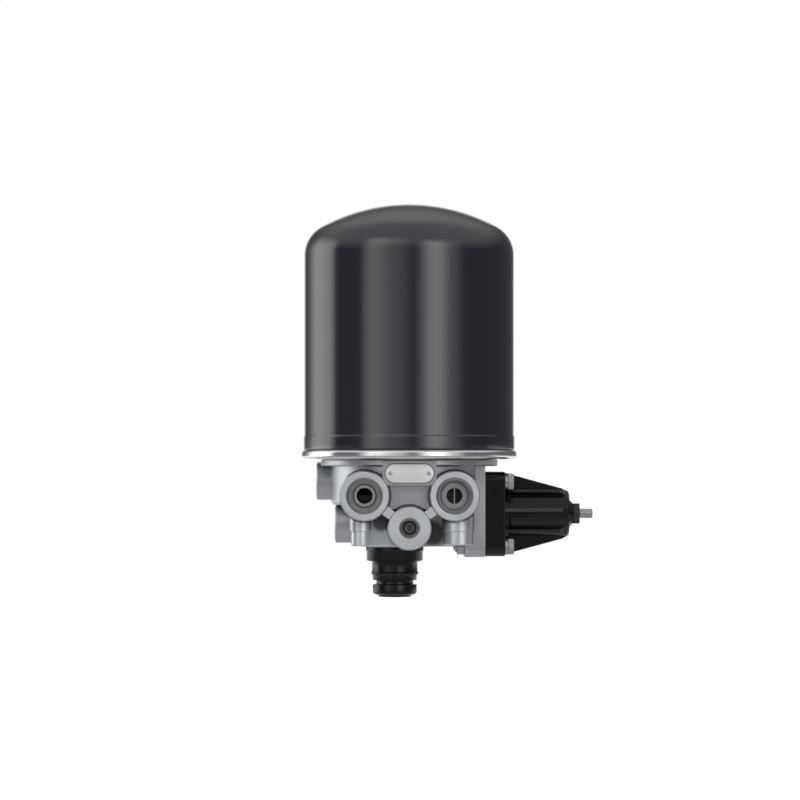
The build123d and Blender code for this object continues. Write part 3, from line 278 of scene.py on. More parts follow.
@dataclass(frozen=True)
class Finish:
    """Common part of every finish: a name, a softened edge and the shader itself."""

    name: str
    colour: Colour
    roughness: float
    edge: float = 0.0
    specular: float = 0.5

    def surface(self, tree: Tree) -> Surface:
        """What varies over the piece; each kind of finish says its own."""
        raise NotImplementedError

    def material(self) -> bpy.types.Material:
        """Makes the material, once for each name.

        Returns:
            Material with this finish.
        """
        title = f"{self.name}_finish"
        if title in bpy.data.materials:
            return bpy.data.materials[title]
        made = bpy.data.materials.new(title)
        tree = Tree(made)
        seen = self.surface(tree)
        colour = seen.colour if isinstance(seen.colour, Value) else (*seen.colour, 1.0)
        inputs: dict[int | str, Any] = {"Base Color": colour, "Roughness": seen.roughness,
                                        "Metallic": seen.metallic, "Specular IOR Level": self.specular}
        normal = self._rounded(tree)
        if seen.height is not None:
            relief: dict[int | str, Any] = {"Strength": 1.0, "Distance": seen.relief,
                                            "Height": seen.height}
            if normal is not None:
                relief["Normal"] = normal
            normal = tree.node("ShaderNodeBump", inputs=relief)
        if normal is not None:
            inputs["Normal"] = normal
        shader = tree.node("ShaderNodeBsdfPrincipled", inputs=inputs)
        tree.node("ShaderNodeOutputMaterial", inputs={"Surface": shader})
        made.diffuse_color = (*self.colour, 1.0)
        return made

    def _rounded(self, tree: Tree) -> Value | None:
        """Normal with the piece's edges softened.

        Args:
            tree: Tree that the nodes go into.

        Returns:
            The normal, or None if this finish has no soft edge.
        """
        if not self.edge:
            return None
        return tree.node("ShaderNodeBevel", {"samples": 6}, {"Radius": self.edge})


@dataclass(frozen=True)
class Enamel(Finish):
    """Deep black baked enamel over drawn steel, with a faint orange peel."""

    peel: float = 0.00001
    peel_cells: float = 520.0
    drift_cells: float = 14.0
    dust_cells: float = 2200.0
    dust_colour: Colour = (0.05, 0.05, 0.055)

    def surface(self, tree: Tree) -> Surface:
        """Even colour, gloss that drifts a little and a soft peel.

        Args:
            tree: Tree that the nodes go into.

        Returns:
            What feeds the shader.
        """
        place = tree.place()
        drift = tree.noise(place, self.drift_cells, 3.0)
        dust = tree.step(tree.noise(place, self.dust_cells, 1.0), 0.72, 0.82)
        peel = tree.noise(place, self.peel_cells, 2.0, 0.4)
        colour = tree.mixed(dust * 0.25, self.colour, self.dust_colour)
        rough = self.roughness + (drift - 0.5) * 0.06 + dust * 0.1
        return Surface(colour, rough, height=peel, relief=self.peel)


@dataclass(frozen=True)
class Plated(Finish):
    """Zinc or tin over steel: bright, faintly clouded, with fine draw lines."""

    metallic: float = 1.0
    cloud: float = 0.16
    cloud_cells: float = 130.0
    lines: float = 0.000004
    line_cells: float = 1800.0
    along: tuple[float, float, float] = (1.0, 1.0, 1.0)

    def surface(self, tree: Tree) -> Surface:
        """Clouded gloss and fine lines along the work.

        Args:
            tree: Tree that the nodes go into.

        Returns:
            What feeds the shader.
        """
        place = tree.place()
        cloud = tree.noise(place, self.cloud_cells, 4.0, 0.6)
        lines = tree.noise(tree.stretched(place, self.along), self.line_cells, 2.0)
        colour = tree.shine(self.colour, 1.0 - self.cloud * tree.step(cloud, 0.4, 0.75))
        rough = self.roughness + (cloud - 0.5) * 0.18 + (lines - 0.5) * 0.08
        return Surface(colour, rough, self.metallic, lines, self.lines)


@dataclass(frozen=True)
class MachinedFace:
    """A flat turned or milled face on the casting: where it lies and its centre, in metres.

    Painted shade darkens rings behind the face and stands in for the shadow round each boss;
    each ring has an inner and an outer radius. The spans are the two ends of a soft step.
    """

    axis: Axis
    at: float
    facing: float
    centre: tuple[float, float, float]
    reach: float
    # Rings of painted shade behind the face, with their soft edges and the depths where they start and end
    painted_shade: tuple[Span, ...] = ()
    skin: Span = (0.00002, 0.00009)
    square: Span = (0.9, 0.98)
    rim: float = 0.0002
    shade_ring_edges: Span = (0.0003, 0.0006)
    shade_ring_starts: Span = (0.0028, 0.0045)
    shade_ring_ends: Span = (0.028, 0.034)
    tool_rings: float = 14000.0
    worn_cells: float = 300.0

    def far(self, tree: Tree, place: Value) -> Value:
        """How far a point lies from the face's own axis."""
        across = tuple(0.0 if axis is self.axis else 1.0 for axis in Axis)
        return tree.distance(place, self.centre, across)

    def depth(self, parts: Sequence[Value]) -> Value:
        """How far a point lies behind the face."""
        return (parts[self.axis.value] - self.at) * -self.facing

    def mask(self, tree: Tree, place: Value, parts: Sequence[Value], normal: Sequence[Value]) -> Value:
        """One on the face, zero elsewhere.

        Args:
            tree: Tree that the nodes go into.
            place: Point on the piece.
            parts: Its three coordinates.
            normal: The three parts of the surface's direction.

        Returns:
            Mask of the face.
        """
        level = 1.0 - tree.step(self.depth(parts), *self.skin)
        turned = tree.step(normal[self.axis.value] * self.facing, *self.square)
        near = 1.0 - tree.step(self.far(tree, place), self.reach, self.reach + self.rim)
        return level * turned * near

    def painted_shade_mask(self, tree: Tree, place: Value, parts: Sequence[Value], ring: Span) -> Value:
        """Painted shade in a ring behind the face.

        Args:
            tree: Tree that the nodes go into.
            place: Point on the piece.
            parts: Its three coordinates.
            ring: Inner and outer radius.

        Returns:
            Mask of the ring of painted shade.
        """
        inner, outer = ring
        inner_edge, outer_edge = self.shade_ring_edges
        far, depth = self.far(tree, place), self.depth(parts)
        mask = tree.step(far, inner - inner_edge, inner) * (1.0 - tree.step(far, outer - outer_edge, outer))
        return mask * tree.step(depth, *self.shade_ring_starts) * (1.0 - tree.step(depth, *self.shade_ring_ends))

    def marks(self, tree: Tree, place: Value) -> Value:
        """Fine rings about the face's centre, as a turning tool leaves them."""
        wave = tree.sine(self.far(tree, place) * self.tool_rings)
        return wave * (0.5 + tree.noise(place, self.worn_cells, 2.0))


@dataclass(frozen=True)
class Patch:
    """A round patch of the front with painted shade (darker) or painted light (lighter), in metres.

    It reaches from one depth behind the ports' faces to another and fades out past its core.
    """

    x: float
    z: float
    radius: float
    shine: float
    depths: Span
    core: float = 0.55
    fades: Span = (0.003, 0.006)

    def mask(self, tree: Tree, place: Value, depth: Value) -> Value:
        """One in the patch, zero outside.

        Args:
            tree: Tree that the nodes go into.
            place: Point on the piece.
            depth: Depth of the point behind the ports' faces.

        Returns:
            Mask of the patch.
        """
        far = tree.distance(place, (self.x, 0.0, self.z), (1.0, 0.0, 1.0))
        near = 1.0 - tree.step(far, self.radius * self.core, self.radius)
        (first, last), (fade_in, fade_out) = self.depths, self.fades
        starts = tree.step(depth, first - fade_in, first)
        ends = tree.step(depth, last, last + fade_out)
        return near * starts * (1.0 - ends)


@dataclass(frozen=True)
class PlateEdge:
    """Outline of the plate, where painted shade darkens the pad along its edge: half its straight part, end
    and height.
    """

    half: float
    end: float
    z: float
    inner_fade: Span = (-0.0004, 0.0)
    outer_fade: Span = (0.0001, 0.0008)
    depths: Span = (0.0028, 0.0034)

    def mask(self, tree: Tree, parts: Sequence[Value], depth: Value) -> Value:
        """Painted shade on the pad along the plate's edge.

        Args:
            tree: Tree that the nodes go into.
            parts: Coordinates of the point.
            depth: Depth of the point behind the ports' faces.

        Returns:
            Mask of the line of painted shade.
        """
        x, _, z = parts
        over = (x.most(x * -1.0) - self.half).most(0.0)
        offset = tree.node("ShaderNodeCombineXYZ", inputs={0: over, 1: z - self.z})
        far = tree.node("ShaderNodeVectorMath", {"operation": "LENGTH"}, {0: offset}, "Value")
        starts = tree.step(far, *(self.end + fade for fade in self.inner_fade))
        ends = tree.step(far, *(self.end + fade for fade in self.outer_fade))
        return starts * (1.0 - ends) * (1.0 - tree.step(depth, *self.depths))


@dataclass(frozen=True)
class Casting(Finish):
    """Blasted die-cast aluminium with brighter machined faces."""

    machined_colour: Colour = (0.71, 0.73, 0.75)
    machined_roughness: float = 0.36
    metallic: float = 0.9
    # Strength of the painted shade in the rings behind the faces and along the plate
    painted_shade: float = 0.8
    grain: float = 0.00005
    coarse_cells: float = 900.0
    fine_cells: float = 2600.0
    mottle_cells: float = 70.0
    pit_cells: float = 480.0
    faces: tuple[MachinedFace, ...] = ()
    painted_light_and_shade: tuple[Patch, ...] = ()
    plate: PlateEdge | None = None

    def surface(self, tree: Tree) -> Surface:
        """Grain of the blasted skin, mottling, painted shade and painted light, and turning marks on the
        machined faces.

        Args:
            tree: Tree that the nodes go into.

        Returns:
            What feeds the shader.
        """
        place = tree.place()
        parts = tree.parts(place)
        normal = tree.parts(tree.node("ShaderNodeNewGeometry", output="True Normal"))
        machined: Any = 0.0
        marks: Any = 0.0
        # Mask of painted shade: rings behind the faces and a line along the plate's edge
        painted_shade_mask: Any = 0.0
        for face in self.faces:
            here = face.mask(tree, place, parts, normal)
            machined = here.most(machined)
            marks = here * face.marks(tree, place) + marks
            for ring in face.painted_shade:
                painted_shade_mask = face.painted_shade_mask(tree, place, parts, ring).most(painted_shade_mask)
        depth = self.faces[0].depth(parts)
        if self.plate:
            painted_shade_mask = self.plate.mask(tree, parts, depth).most(painted_shade_mask)
        # Painted shade darkens the colour by that mask, then each patch paints light or shade onto it
        shine: Any = 1.0 - self.painted_shade * painted_shade_mask
        for patch in self.painted_light_and_shade:
            shine = shine * (1.0 + (patch.shine - 1.0) * patch.mask(tree, place, depth))
        cast = 1.0 - machined
        coarse = tree.noise(place, self.coarse_cells, 3.0, 0.6)
        fine = tree.noise(place, self.fine_cells, 2.0, 0.5)
        mottle = tree.noise(place, self.mottle_cells, 4.0, 0.6)
        pits = tree.step(tree.cells(place, self.pit_cells), 0.0, 0.12)
        grain = (coarse * 0.7 + fine * 0.3) * cast * (0.7 + 0.3 * pits)
        colour = tree.mixed(machined, self.colour, self.machined_colour)
        colour = tree.shine(colour, (0.88 + 0.16 * mottle + 0.08 * (fine - 0.5)) * shine)
        rough = (self.roughness + (mottle - 0.5) * 0.14) * cast + machined * self.machined_roughness
        return Surface(colour, rough, self.metallic, grain + marks * 0.16, self.grain)


@dataclass(frozen=True)
class BlackCasting(Finish):
    """Casting under thin black paint: fine grain, lighter worn specks and uneven gloss."""

    grain: float = 0.00004
    grain_cells: float = 1300.0
    gloss: float = 0.12
    gloss_cells: float = 90.0
    worn: Colour = (0.016, 0.015, 0.017)

    def surface(self, tree: Tree) -> Surface:
        """Painted grain with uneven gloss.

        Args:
            tree: Tree that the nodes go into.

        Returns:
            What feeds the shader.
        """
        place = tree.place()
        grain = tree.noise(place, self.grain_cells, 3.0, 0.6)
        patch = tree.noise(place, self.gloss_cells, 4.0, 0.6)
        colour = tree.mixed(tree.step(grain, 0.62, 0.8) * 0.35, self.colour, self.worn)
        rough = self.roughness + (patch - 0.5) * self.gloss + (grain - 0.5) * 0.12
        return Surface(colour, rough, height=grain, relief=self.grain)


@dataclass(frozen=True)
class Moulded(Finish):
    """Moulded plastic with faint flow marks and a fine drawn texture."""

    relief: float = 0.00002
    along: tuple[float, float, float] = (1.0, 1.0, 0.12)
    light: Colour = (0.018, 0.018, 0.019)
    flow_cells: float = 420.0
    fine_cells: float = 2400.0

    def surface(self, tree: Tree) -> Surface:
        """Flow marks along the pull of the mould.

        Args:
            tree: Tree that the nodes go into.

        Returns:
            What feeds the shader.
        """
        place = tree.place()
        flow = tree.noise(tree.stretched(place, self.along), self.flow_cells, 3.0)
        fine = tree.noise(place, self.fine_cells, 1.0)
        colour = tree.mixed(tree.step(flow, 0.45, 0.9) * 0.5, self.colour, self.light)
        rough = self.roughness + (flow - 0.5) * 0.16 + (fine - 0.5) * 0.06
        return Surface(colour, rough, height=flow * 0.6 + fine * 0.4, relief=self.relief)


@dataclass(frozen=True)
class Turned(Finish):
    """Metal turned on a lathe: rings along the axis and a bright, streaked gloss."""

    metallic: float = 1.0
    axis: Axis = Axis.Z
    pitch: float = 0.00012
    relief: float = 0.000006
    stain_cells: float = 160.0

    def surface(self, tree: Tree) -> Surface:
        """Tool rings along the axis, with a little staining.

        Args:
            tree: Tree that the nodes go into.

        Returns:
            What feeds the shader.
        """
        place = tree.place()
        rings = tree.sine(tree.parts(place)[self.axis.value] * (math.tau / self.pitch))
        stain = tree.noise(place, self.stain_cells, 4.0, 0.6)
        colour = tree.shine(self.colour, 0.9 + 0.2 * (stain - 0.3))
        rough = self.roughness + (stain - 0.5) * 0.2 + rings * 0.02
        return Surface(colour, rough, self.metallic, rings, self.relief)


@dataclass(frozen=True)
class BrushedPlate(Finish):
    """Satin sheet metal, brushed along X and a little handled."""

    metallic: float = 0.55
    along: tuple[float, float, float] = (0.03, 1.0, 1.0)
    brush_cells: float = 5200.0
    smear_cells: float = 210.0
    relief: float = 0.000006

    def surface(self, tree: Tree) -> Surface:
        """Brush lines along the plate and faint smears.

        Args:
            tree: Tree that the nodes go into.

        Returns:
            What feeds the shader.
        """
        place = tree.place()
        brush = tree.noise(tree.stretched(place, self.along), self.brush_cells, 3.0, 0.7)
        smear = tree.noise(place, self.smear_cells, 3.0)
        colour = tree.shine(self.colour, 0.9 + 0.1 * brush + 0.1 * (smear - 0.4))
        rough = self.roughness + (brush - 0.5) * 0.2 + (smear - 0.5) * 0.1
        return Surface(colour, rough, self.metallic, brush, self.relief)


@dataclass(frozen=True)
class Rubber(Finish):
    """Moulded seal rubber, matt and slightly dusty."""

    skin_cells: float = 1900.0
    dust_cells: float = 240.0
    dust_colour: Colour = (0.06, 0.058, 0.055)
    relief: float = 0.00002

    def surface(self, tree: Tree) -> Surface:
        """Dusty, finely pitted skin.

        Args:
            tree: Tree that the nodes go into.

        Returns:
            What feeds the shader.
        """
        place = tree.place()
        skin = tree.noise(place, self.skin_cells, 2.0)
        dust = tree.noise(place, self.dust_cells, 4.0, 0.7)
        colour = tree.mixed(tree.step(dust, 0.5, 0.9) * 0.4, self.colour, self.dust_colour)
        return Surface(colour, self.roughness + (dust - 0.5) * 0.15, height=skin, relief=self.relief)


@dataclass(frozen=True)
class Grains(Finish):
    """Packed round beads, or the loose fibres of a felt, by their size."""

    size: float = 0.002
    depth: float = 0.0006
    gap_shade: Colour = (0.3, 0.27, 0.22)

    def surface(self, tree: Tree) -> Surface:
        """Round grains with painted shade in the gaps between them.

        Args:
            tree: Tree that the nodes go into.

        Returns:
            What feeds the shader.
        """
        place = tree.place()
        gap = tree.cells(place, 1.0 / self.size)
        tint = tree.noise(place, 0.35 / self.size, 2.0)
        hill = 1.0 - gap * gap * 1.6
        # Painted shade in the gaps between the grains
        colour = tree.mixed(tree.step(gap, 0.35, 0.75), self.colour, self.gap_shade)
        colour = tree.shine(colour, 0.86 + 0.28 * tint)
        return Surface(colour, self.roughness, height=hill, relief=self.depth)


# Shapes


@dataclass
class Shape:
    """Points and faces in millimetres, which can be turned, moved and joined."""

    points: list[Vector]
    faces: list[tuple[int, ...]]

    def moved(self, matrix: Matrix) -> "Shape":
        """The same shape in another place."""
        return Shape([matrix @ point for point in self.points], self.faces)

    def __add__(self, other: "Shape") -> "Shape":
        """Both shapes as one.

        Args:
            other: Shape that is joined to this one.

        Returns:
            The joined shape.
        """
        start = len(self.points)
        shifted = [tuple(index + start for index in face) for face in other.faces]
        return Shape(self.points + other.points, self.faces + shifted)

    def mesh(self, name: str) -> bpy.types.Mesh:
        """Makes a mesh in metres, without double points or empty faces, all faces turned outwards.

        Args:
            name: Name of the mesh.

        Returns:
            The new mesh.
        """
        made = bpy.data.meshes.new(name)
        made.from_pydata([tuple(point * MM) for point in self.points], [], self.faces)
        work = bmesh.new()
        work.from_mesh(made)
        bmesh.ops.remove_doubles(work, verts=work.verts, dist=JOINED)
        bmesh.ops.dissolve_degenerate(work, edges=work.edges, dist=JOINED)
        bmesh.ops.recalc_face_normals(work, faces=work.faces)
        work.to_mesh(made)
        work.free()
        return made


def joined(shapes: Iterable[Shape]) -> Shape:
    """Several shapes as one."""
    return sum(shapes, Shape([], []))


def upright(x: float, y: float, z: float = 0.0) -> Matrix:
    """Place of a shape whose axis stands up."""
    return Matrix.Translation((x, y, z))


def facing_front(x: float, y: float, z: float) -> Matrix:
    """Place of a shape whose own +Z points to the front."""
    return Matrix.Translation((x, y, z)) @ Matrix.Rotation(math.radians(90), 4, "X")


def facing_right(x: float, y: float, z: float) -> Matrix:
    """Place of a shape whose own +Z points right."""
    return Matrix.Translation((x, y, z)) @ Matrix.Rotation(math.radians(90), 4, "Y")


def arc(centre: tuple[float, float], radius: float, start: float, end: float, count: int) -> Outline:
    """Points of an arc in a lathe outline, its angles in degrees from outwards towards upwards."""
    angles = [math.radians(start + (end - start) * i / count) for i in range(count + 1)]
    return [(centre[0] + radius * math.cos(a), centre[1] + radius * math.sin(a)) for a in angles]


def rounded(outline: Outline, radius: float, count: int = 3, closed: bool = True) -> Outline:
    """An outline with its corners rounded.

    Args:
        outline: Corners in order.
        radius: Radius, made smaller where a side is short.
        count: Spans in each rounded corner.
        closed: Whether the last corner joins the first.

    Returns:
        The finer outline.
    """
    size = len(outline)
    made: Outline = []
    for i, point in enumerate(outline):
        if not closed and i in (0, size - 1):
            made.append(point)
            continue
        here = Vector(point)
        back = Vector(outline[i - 1]) - here
        ahead = Vector(outline[(i + 1) % size]) - here
        turn = back.angle(ahead)
        if turn > NEARLY_STRAIGHT or min(back.length, ahead.length) < TINY:
            made.append(point)
            continue
        cut = min(radius / math.tan(turn / 2), back.length * 0.45, ahead.length * 0.45)
        first, last = here + back.normalized() * cut, here + ahead.normalized() * cut
        for k in range(count + 1):
            t = k / count
            bent = first * (1 - t) ** 2 + here * (2 * t * (1 - t)) + last * t * t
            made.append((bent.x, bent.y))
    return made


def lathe(outline: Outline, segments: int, flats: float = 0.0, closed: bool = True) -> Shape:
    """A shape turned about Z.

    Args:
        outline: Radius and height of each corner, outward side on the right of the way.
        segments: Steps around the axis.
        flats: Width across flats that limits the radius, or 0 for a round shape.
        closed: Whether the last corner joins the first.

    Returns:
        The turned shape.
    """
    points: list[Vector] = []
    for step in range(segments):
        angle = math.tau * step / segments
        limit = math.inf
        if flats:
            part = math.radians(60)
            limit = flats / 2 / math.cos((angle + part / 2) % part - part / 2)
        for radius, height in outline:
            reach = min(radius, limit)
            points.append(Vector((reach * math.cos(angle), reach * math.sin(angle), height)))
    rows = len(outline)
    faces: list[tuple[int, ...]] = []
    for step in range(segments):
        here, there = step * rows, (step + 1) % segments * rows
        for i in range(rows if closed else rows - 1):
            j = (i + 1) % rows
            if max(outline[i][0], outline[j][0]) > TINY:
                faces.append((here + i, there + i, there + j, here + j))
    return Shape(points, faces)


def capsule(half: float, end: float, rows: Sequence[tuple[float, float]], count: int = 20) -> Shape:
    """A plate with round ends, built up in rows that step inwards.

    Args:
        half: Half the straight length.
        end: Radius of the ends.
        rows: Inset and height of each row, from the back up to the front.
        count: Spans in each round end.

    Returns:
        The closed plate.
    """
    points: list[Vector] = []
    for inset, height in rows:
        reach = end - inset
        for x, start in ((half, -90), (-half, 90)):
            for i in range(count + 1):
                angle = math.radians(start + 180 * i / count)
                points.append(Vector((x + reach * math.cos(angle), reach * math.sin(angle), height)))
    size = 2 * (count + 1)
    faces: list[tuple[int, ...]] = [tuple(range(size))[::-1]]
    for row in range(len(rows) - 1):
        for i in range(size):
            j = (i + 1) % size
            faces.append((row * size + i, row * size + j, (row + 1) * size + j, (row + 1) * size + i))
    last = (len(rows) - 1) * size
    faces.append(tuple(range(last, last + size)))
    return Shape(points, faces)


def bar(width: float, depth: float, height: float) -> Shape:
    """A bar about the origin, with its long edges broken.

    Args:
        width: Size along X.
        depth: Size along Y.
        height: Size along Z.

    Returns:
        The bar.
    """
    half, top, cut = width / 2, height / 2, width * BROKEN_EDGE
    side = [(half, -top), (half, top - cut), (half - cut, top)]
    outline = side + [(-x, z) for x, z in side[::-1]]
    size = len(outline)
    points = [Vector((x, y, z)) for y in (-depth / 2, depth / 2) for x, z in outline]
    faces: list[tuple[int, ...]] = [tuple(range(size)), tuple(range(size, 2 * size))[::-1]]
    faces += [(i, i + size, (i + 1) % size + size, (i + 1) % size) for i in range(size)]
    return Shape(points, faces)


@dataclass(frozen=True)
class BoreThread:
    """Screw thread of a bore, as a thin sleeve that is sunk into the wall."""

    radius: float
    depth: float
    pitch: float
    low: float
    high: float
    wall: float = 0.35
    segments: int = 64
    per_turn: int = 8

    def ridge(self, height: float, turn: float) -> float:
        """How far the thread stands out from the bore.

        Args:
            height: Place along the bore.
            turn: Share of a full turn round it.

        Returns:
            Height of the ridge there.
        """
        phase = (height / self.pitch - turn) % 1.0
        crest = max(0.0, min(1.0, 1.25 * (1.0 - abs(2.0 * phase - 1.0)) - 0.125))
        ends = min((height - self.low) / self.pitch, (self.high - height) / self.pitch) * 1.5
        return self.depth * crest * max(0.0, min(1.0, ends))

    def sleeve(self) -> Shape:
        """Makes the sleeve along +Z.

        Returns:
            The threaded sleeve.
        """
        rows = round((self.high - self.low) / self.pitch * self.per_turn)
        points: list[Vector] = []
        heights = [self.low + (self.high - self.low) * row / rows for row in range(rows + 1)]
        sunk = [(self.radius + self.wall, self.high), (self.radius + self.wall, self.low)]
        for step in range(self.segments):
            turn = step / self.segments
            column = [(self.radius - self.ridge(height, turn), height) for height in heights] + sunk
            angle = math.tau * turn
            points += [Vector((reach * math.cos(angle), reach * math.sin(angle), height))
                       for reach, height in column]
        size = rows + 3
        faces: list[tuple[int, ...]] = []
        for step in range(self.segments):
            here, there = step * size, (step + 1) % self.segments * size
            for i in range(size):
                j = (i + 1) % size
                faces.append((here + j, there + j, there + i, here + i))
        return Shape(points, faces)


def added(name: str, data: bpy.types.ID) -> bpy.types.Object:
    """Adds an object to the scene.

    Args:
        name: Name of the object.
        data: Mesh, lamp or camera that it shows.

    Returns:
        The new object.
    """
    made = bpy.data.objects.new(name, data)
    bpy.context.scene.collection.objects.link(made)
    return made


@dataclass(frozen=True)
class Piece:
    """A shown piece of the housing's body: its name, slot, finish and the nodes it stands for."""

    name: str
    slot: Slot
    finish: Finish
    stands_for: tuple[str, ...] = ()
    sharp: float = 32.0

    def make(self, shape: Shape) -> bpy.types.Object:
        """Makes the mesh and hands it to the frame.

        Args:
            shape: Shape in millimetres, in its place at rest.

        Returns:
            The new object.
        """
        mesh = shape.mesh(self.name)
        mesh.polygons.foreach_set("use_smooth", [True] * len(mesh.polygons))
        mesh.set_sharp_from_angle(angle=math.radians(self.sharp))
        made = added(self.name, mesh)
        mesh.materials.append(self.finish.material())
        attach(made, HOUSING_BODY)
        if self.stands_for:
            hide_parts(*self.stands_for)
        LOG.info("piece %s: %d faces", self.name, len(mesh.polygons))
        return made


def dress(finish: Finish, *nodes: str) -> None:
    """Gives CAD nodes that keep their shape a finish.

    Args:
        finish: What they are made of.
        nodes: Names of the nodes.
    """
    for name in nodes:
        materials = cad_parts[name].data.materials
        materials.clear()
        materials.append(finish.material())
        LOG.info("node %s: %s", name, finish.name)


# Finishes in use


@dataclass(frozen=True)
class Palette:
    """Every finish of the dryer but the housing's."""

    enamel: Finish = Enamel("black_enamel", (0.0115, 0.0085, 0.0185), 0.15, specular=1.0)
    seam: Finish = Plated("bright_seam", (0.72, 0.735, 0.75), 0.16, lines=0.0000012, along=(1.0, 1.0, 14.0))
    steel: Finish = Plated("plain_steel", (0.3, 0.31, 0.33), 0.38)
    dark_steel: Finish = Turned("dark_steel", (0.26, 0.265, 0.28), 0.3, axis=Axis.Y)
    zinc: Finish = Plated("zinc_steel", (0.44, 0.44, 0.47), 0.34, edge=0.00025)
    spring: Finish = Plated("spring_steel", (0.34, 0.34, 0.36), 0.3)
    thread: Finish = Plated("cut_thread", (0.42, 0.43, 0.45), 0.42)
    plate: Finish = BrushedPlate("plate_metal", (0.93, 0.925, 0.905), 0.42)
    rivet: Finish = Plated("rivet_metal", (0.5, 0.5, 0.5), 0.36)
    black_casting: Finish = BlackCasting("black_cast", (0.0045, 0.0036, 0.0055), 0.17, edge=0.0005,
                                         specular=0.4, grain=0.000018)
    dark_nut: Finish = BlackCasting("dark_nut", (0.02, 0.02, 0.021), 0.3)
    black_plastic: Finish = Moulded("black_plastic", (0.005, 0.0048, 0.005), 0.2, specular=0.35)
    pale_plastic: Finish = Moulded("pale_plastic", (0.55, 0.53, 0.48), 0.45, light=(0.66, 0.64, 0.58))
    rubber: Finish = Rubber("rubber", (0.012, 0.012, 0.012), 0.7)
    valve_disc: Finish = Rubber("valve_disc", (0.11, 0.112, 0.118), 0.5)
    beads: Finish = Grains("desiccant", (0.72, 0.68, 0.6), 0.6)
    felt: Finish = Grains("felt", (0.6, 0.58, 0.52), 0.95, size=0.0006, depth=0.0002,
                          gap_shade=(0.4, 0.38, 0.33))
    screw: Finish = Plated("turned_screw", (0.42, 0.42, 0.43), 0.3, along=(0.1, 1.0, 1.0))
    purge_piston: Finish = Turned("turned_piston", (0.6, 0.61, 0.63), 0.32)
    regulator_piston: Finish = Turned("anodised_piston", (0.58, 0.59, 0.61), 0.34, axis=Axis.X)


PALETTE = Palette()


# Sub-assemblies


@dataclass(frozen=True)
class Cartridge:
    """Spin-on desiccant cartridge: drawn can, rolled seam and what is inside."""

    axis_y: float = -75.0
    can_radius: float = 68.4
    wall: float = 1.0
    can_low: float = 23.9
    outer_edge: float = 0.9
    inner_edge: float = 0.1
    joggle_top: float = 33.8
    joggle_step: float = 0.45
    joggle_rise: float = 1.6
    straight_top: float = 150.8
    shoulder: float = 21.0
    dome: float = 119.0
    seam_radius: float = 70.4
    seam_inner: float = 66.0
    seam_roll: float = 2.15
    deck: float = 18.0
    sheet: float = 1.0
    lid_inner: float = 42.0
    lid_rise: float = 2.6
    groove: Span = (47.4, 54.6)
    groove_rise: float = 4.0
    press_round: float = 0.5
    segments: int = 256
    outer_spans: int = 28
    inner_spans: int = 12

    def build(self) -> None:
        """Makes the can and the seam and dresses the inner nodes."""
        place = upright(0.0, self.axis_y)
        can = lathe(self.can_outline(), self.segments).moved(place)
        seam = lathe(self.seam_outline(), self.segments).moved(place)
        Piece("can", Slot.ENAMEL, PALETTE.enamel, ("cartridge_shell",), 40.0).make(can)
        Piece("rolled_seam", Slot.SEAM, PALETTE.seam, ("seam_lid",)).make(seam)
        dress(PALETTE.steel, "base_plate", "lower_perforated_disc", "upper_perforated_disc")
        dress(PALETTE.rubber, "cartridge_seal_ring", "centre_seal_ring")
        dress(PALETTE.pale_plastic, "desiccant_canister")
        dress(PALETTE.felt, "lower_fleece", "upper_fleece", "oil_filter_ring")
        dress(PALETTE.beads, "desiccant_bed")
        dress(PALETTE.spring, "cartridge_spring")

    def skin(self, inset: float, edge: float, spans: int) -> Outline:
        """One skin of the can from its edge up to the middle of the dome.

        Args:
            inset: Distance inside the outer skin.
            edge: Radius of the lower edge.
            spans: Spans in the shoulder's arc and in the dome's.

        Returns:
            Outline of the skin.
        """
        side = self.can_radius - inset
        wide = side + self.joggle_step
        centre = self.can_radius - self.shoulder
        rise = math.sqrt((self.dome - self.shoulder) ** 2 - centre ** 2)
        dome_z = self.straight_top - rise
        angle = math.degrees(math.atan2(rise, centre))
        start = self.joggle_top - self.joggle_rise
        joggle = [(wide - self.joggle_step * (3 * t * t - 2 * t ** 3), start + self.joggle_rise * t)
                  for t in (i / 6 for i in range(7))]
        outline = arc((wide - edge, self.can_low + edge), edge, -90.0, 0.0, 6) + joggle
        outline += arc((centre, self.straight_top), self.shoulder - inset, 0.0, angle, spans)
        outline += arc((0.0, dome_z), self.dome - inset, angle, 90.0, spans)[1:-1]
        return outline + [(0.0, dome_z + self.dome - inset)]

    def can_outline(self) -> Outline:
        """Closed outline of the can's sheet."""
        inner = self.skin(self.wall, self.inner_edge, self.inner_spans)
        return self.skin(0.0, self.outer_edge, self.outer_spans) + inner[::-1]

    def seam_outline(self) -> Outline:
        """Closed outline of the rolled bead and the lid with its pressed groove.

        Returns:
            Corners from the lid's underside round the bead to its upper side.
        """
        roll, sheet = self.seam_roll, self.sheet
        inner, outer = self.seam_inner + roll, self.seam_radius - roll
        low, high = self.deck + roll, self.can_low - roll
        bead = arc((inner, low), roll, -180.0, -90.0, 7) + arc((outer, low), roll, -90.0, 0.0, 9)
        bead += arc((outer - 0.1, high), roll + 0.1, 0.0, 90.0, 9)
        bead += arc((inner, high), roll, 90.0, 180.0, 7)
        web, groove = self.deck + self.lid_rise, self.deck + self.groove_rise
        start, end = self.groove
        under = [(self.lid_inner, web), (start, web), (start, groove), (end, groove), (end, web)]
        over = [(end + sheet, web + sheet), (end + sheet, groove + sheet), (start - sheet, groove + sheet),
                (start - sheet, web + sheet), (self.lid_inner, web + sheet)]
        under, over = (rounded(side, self.press_round, closed=False) for side in (under, over))
        return under + bead + over


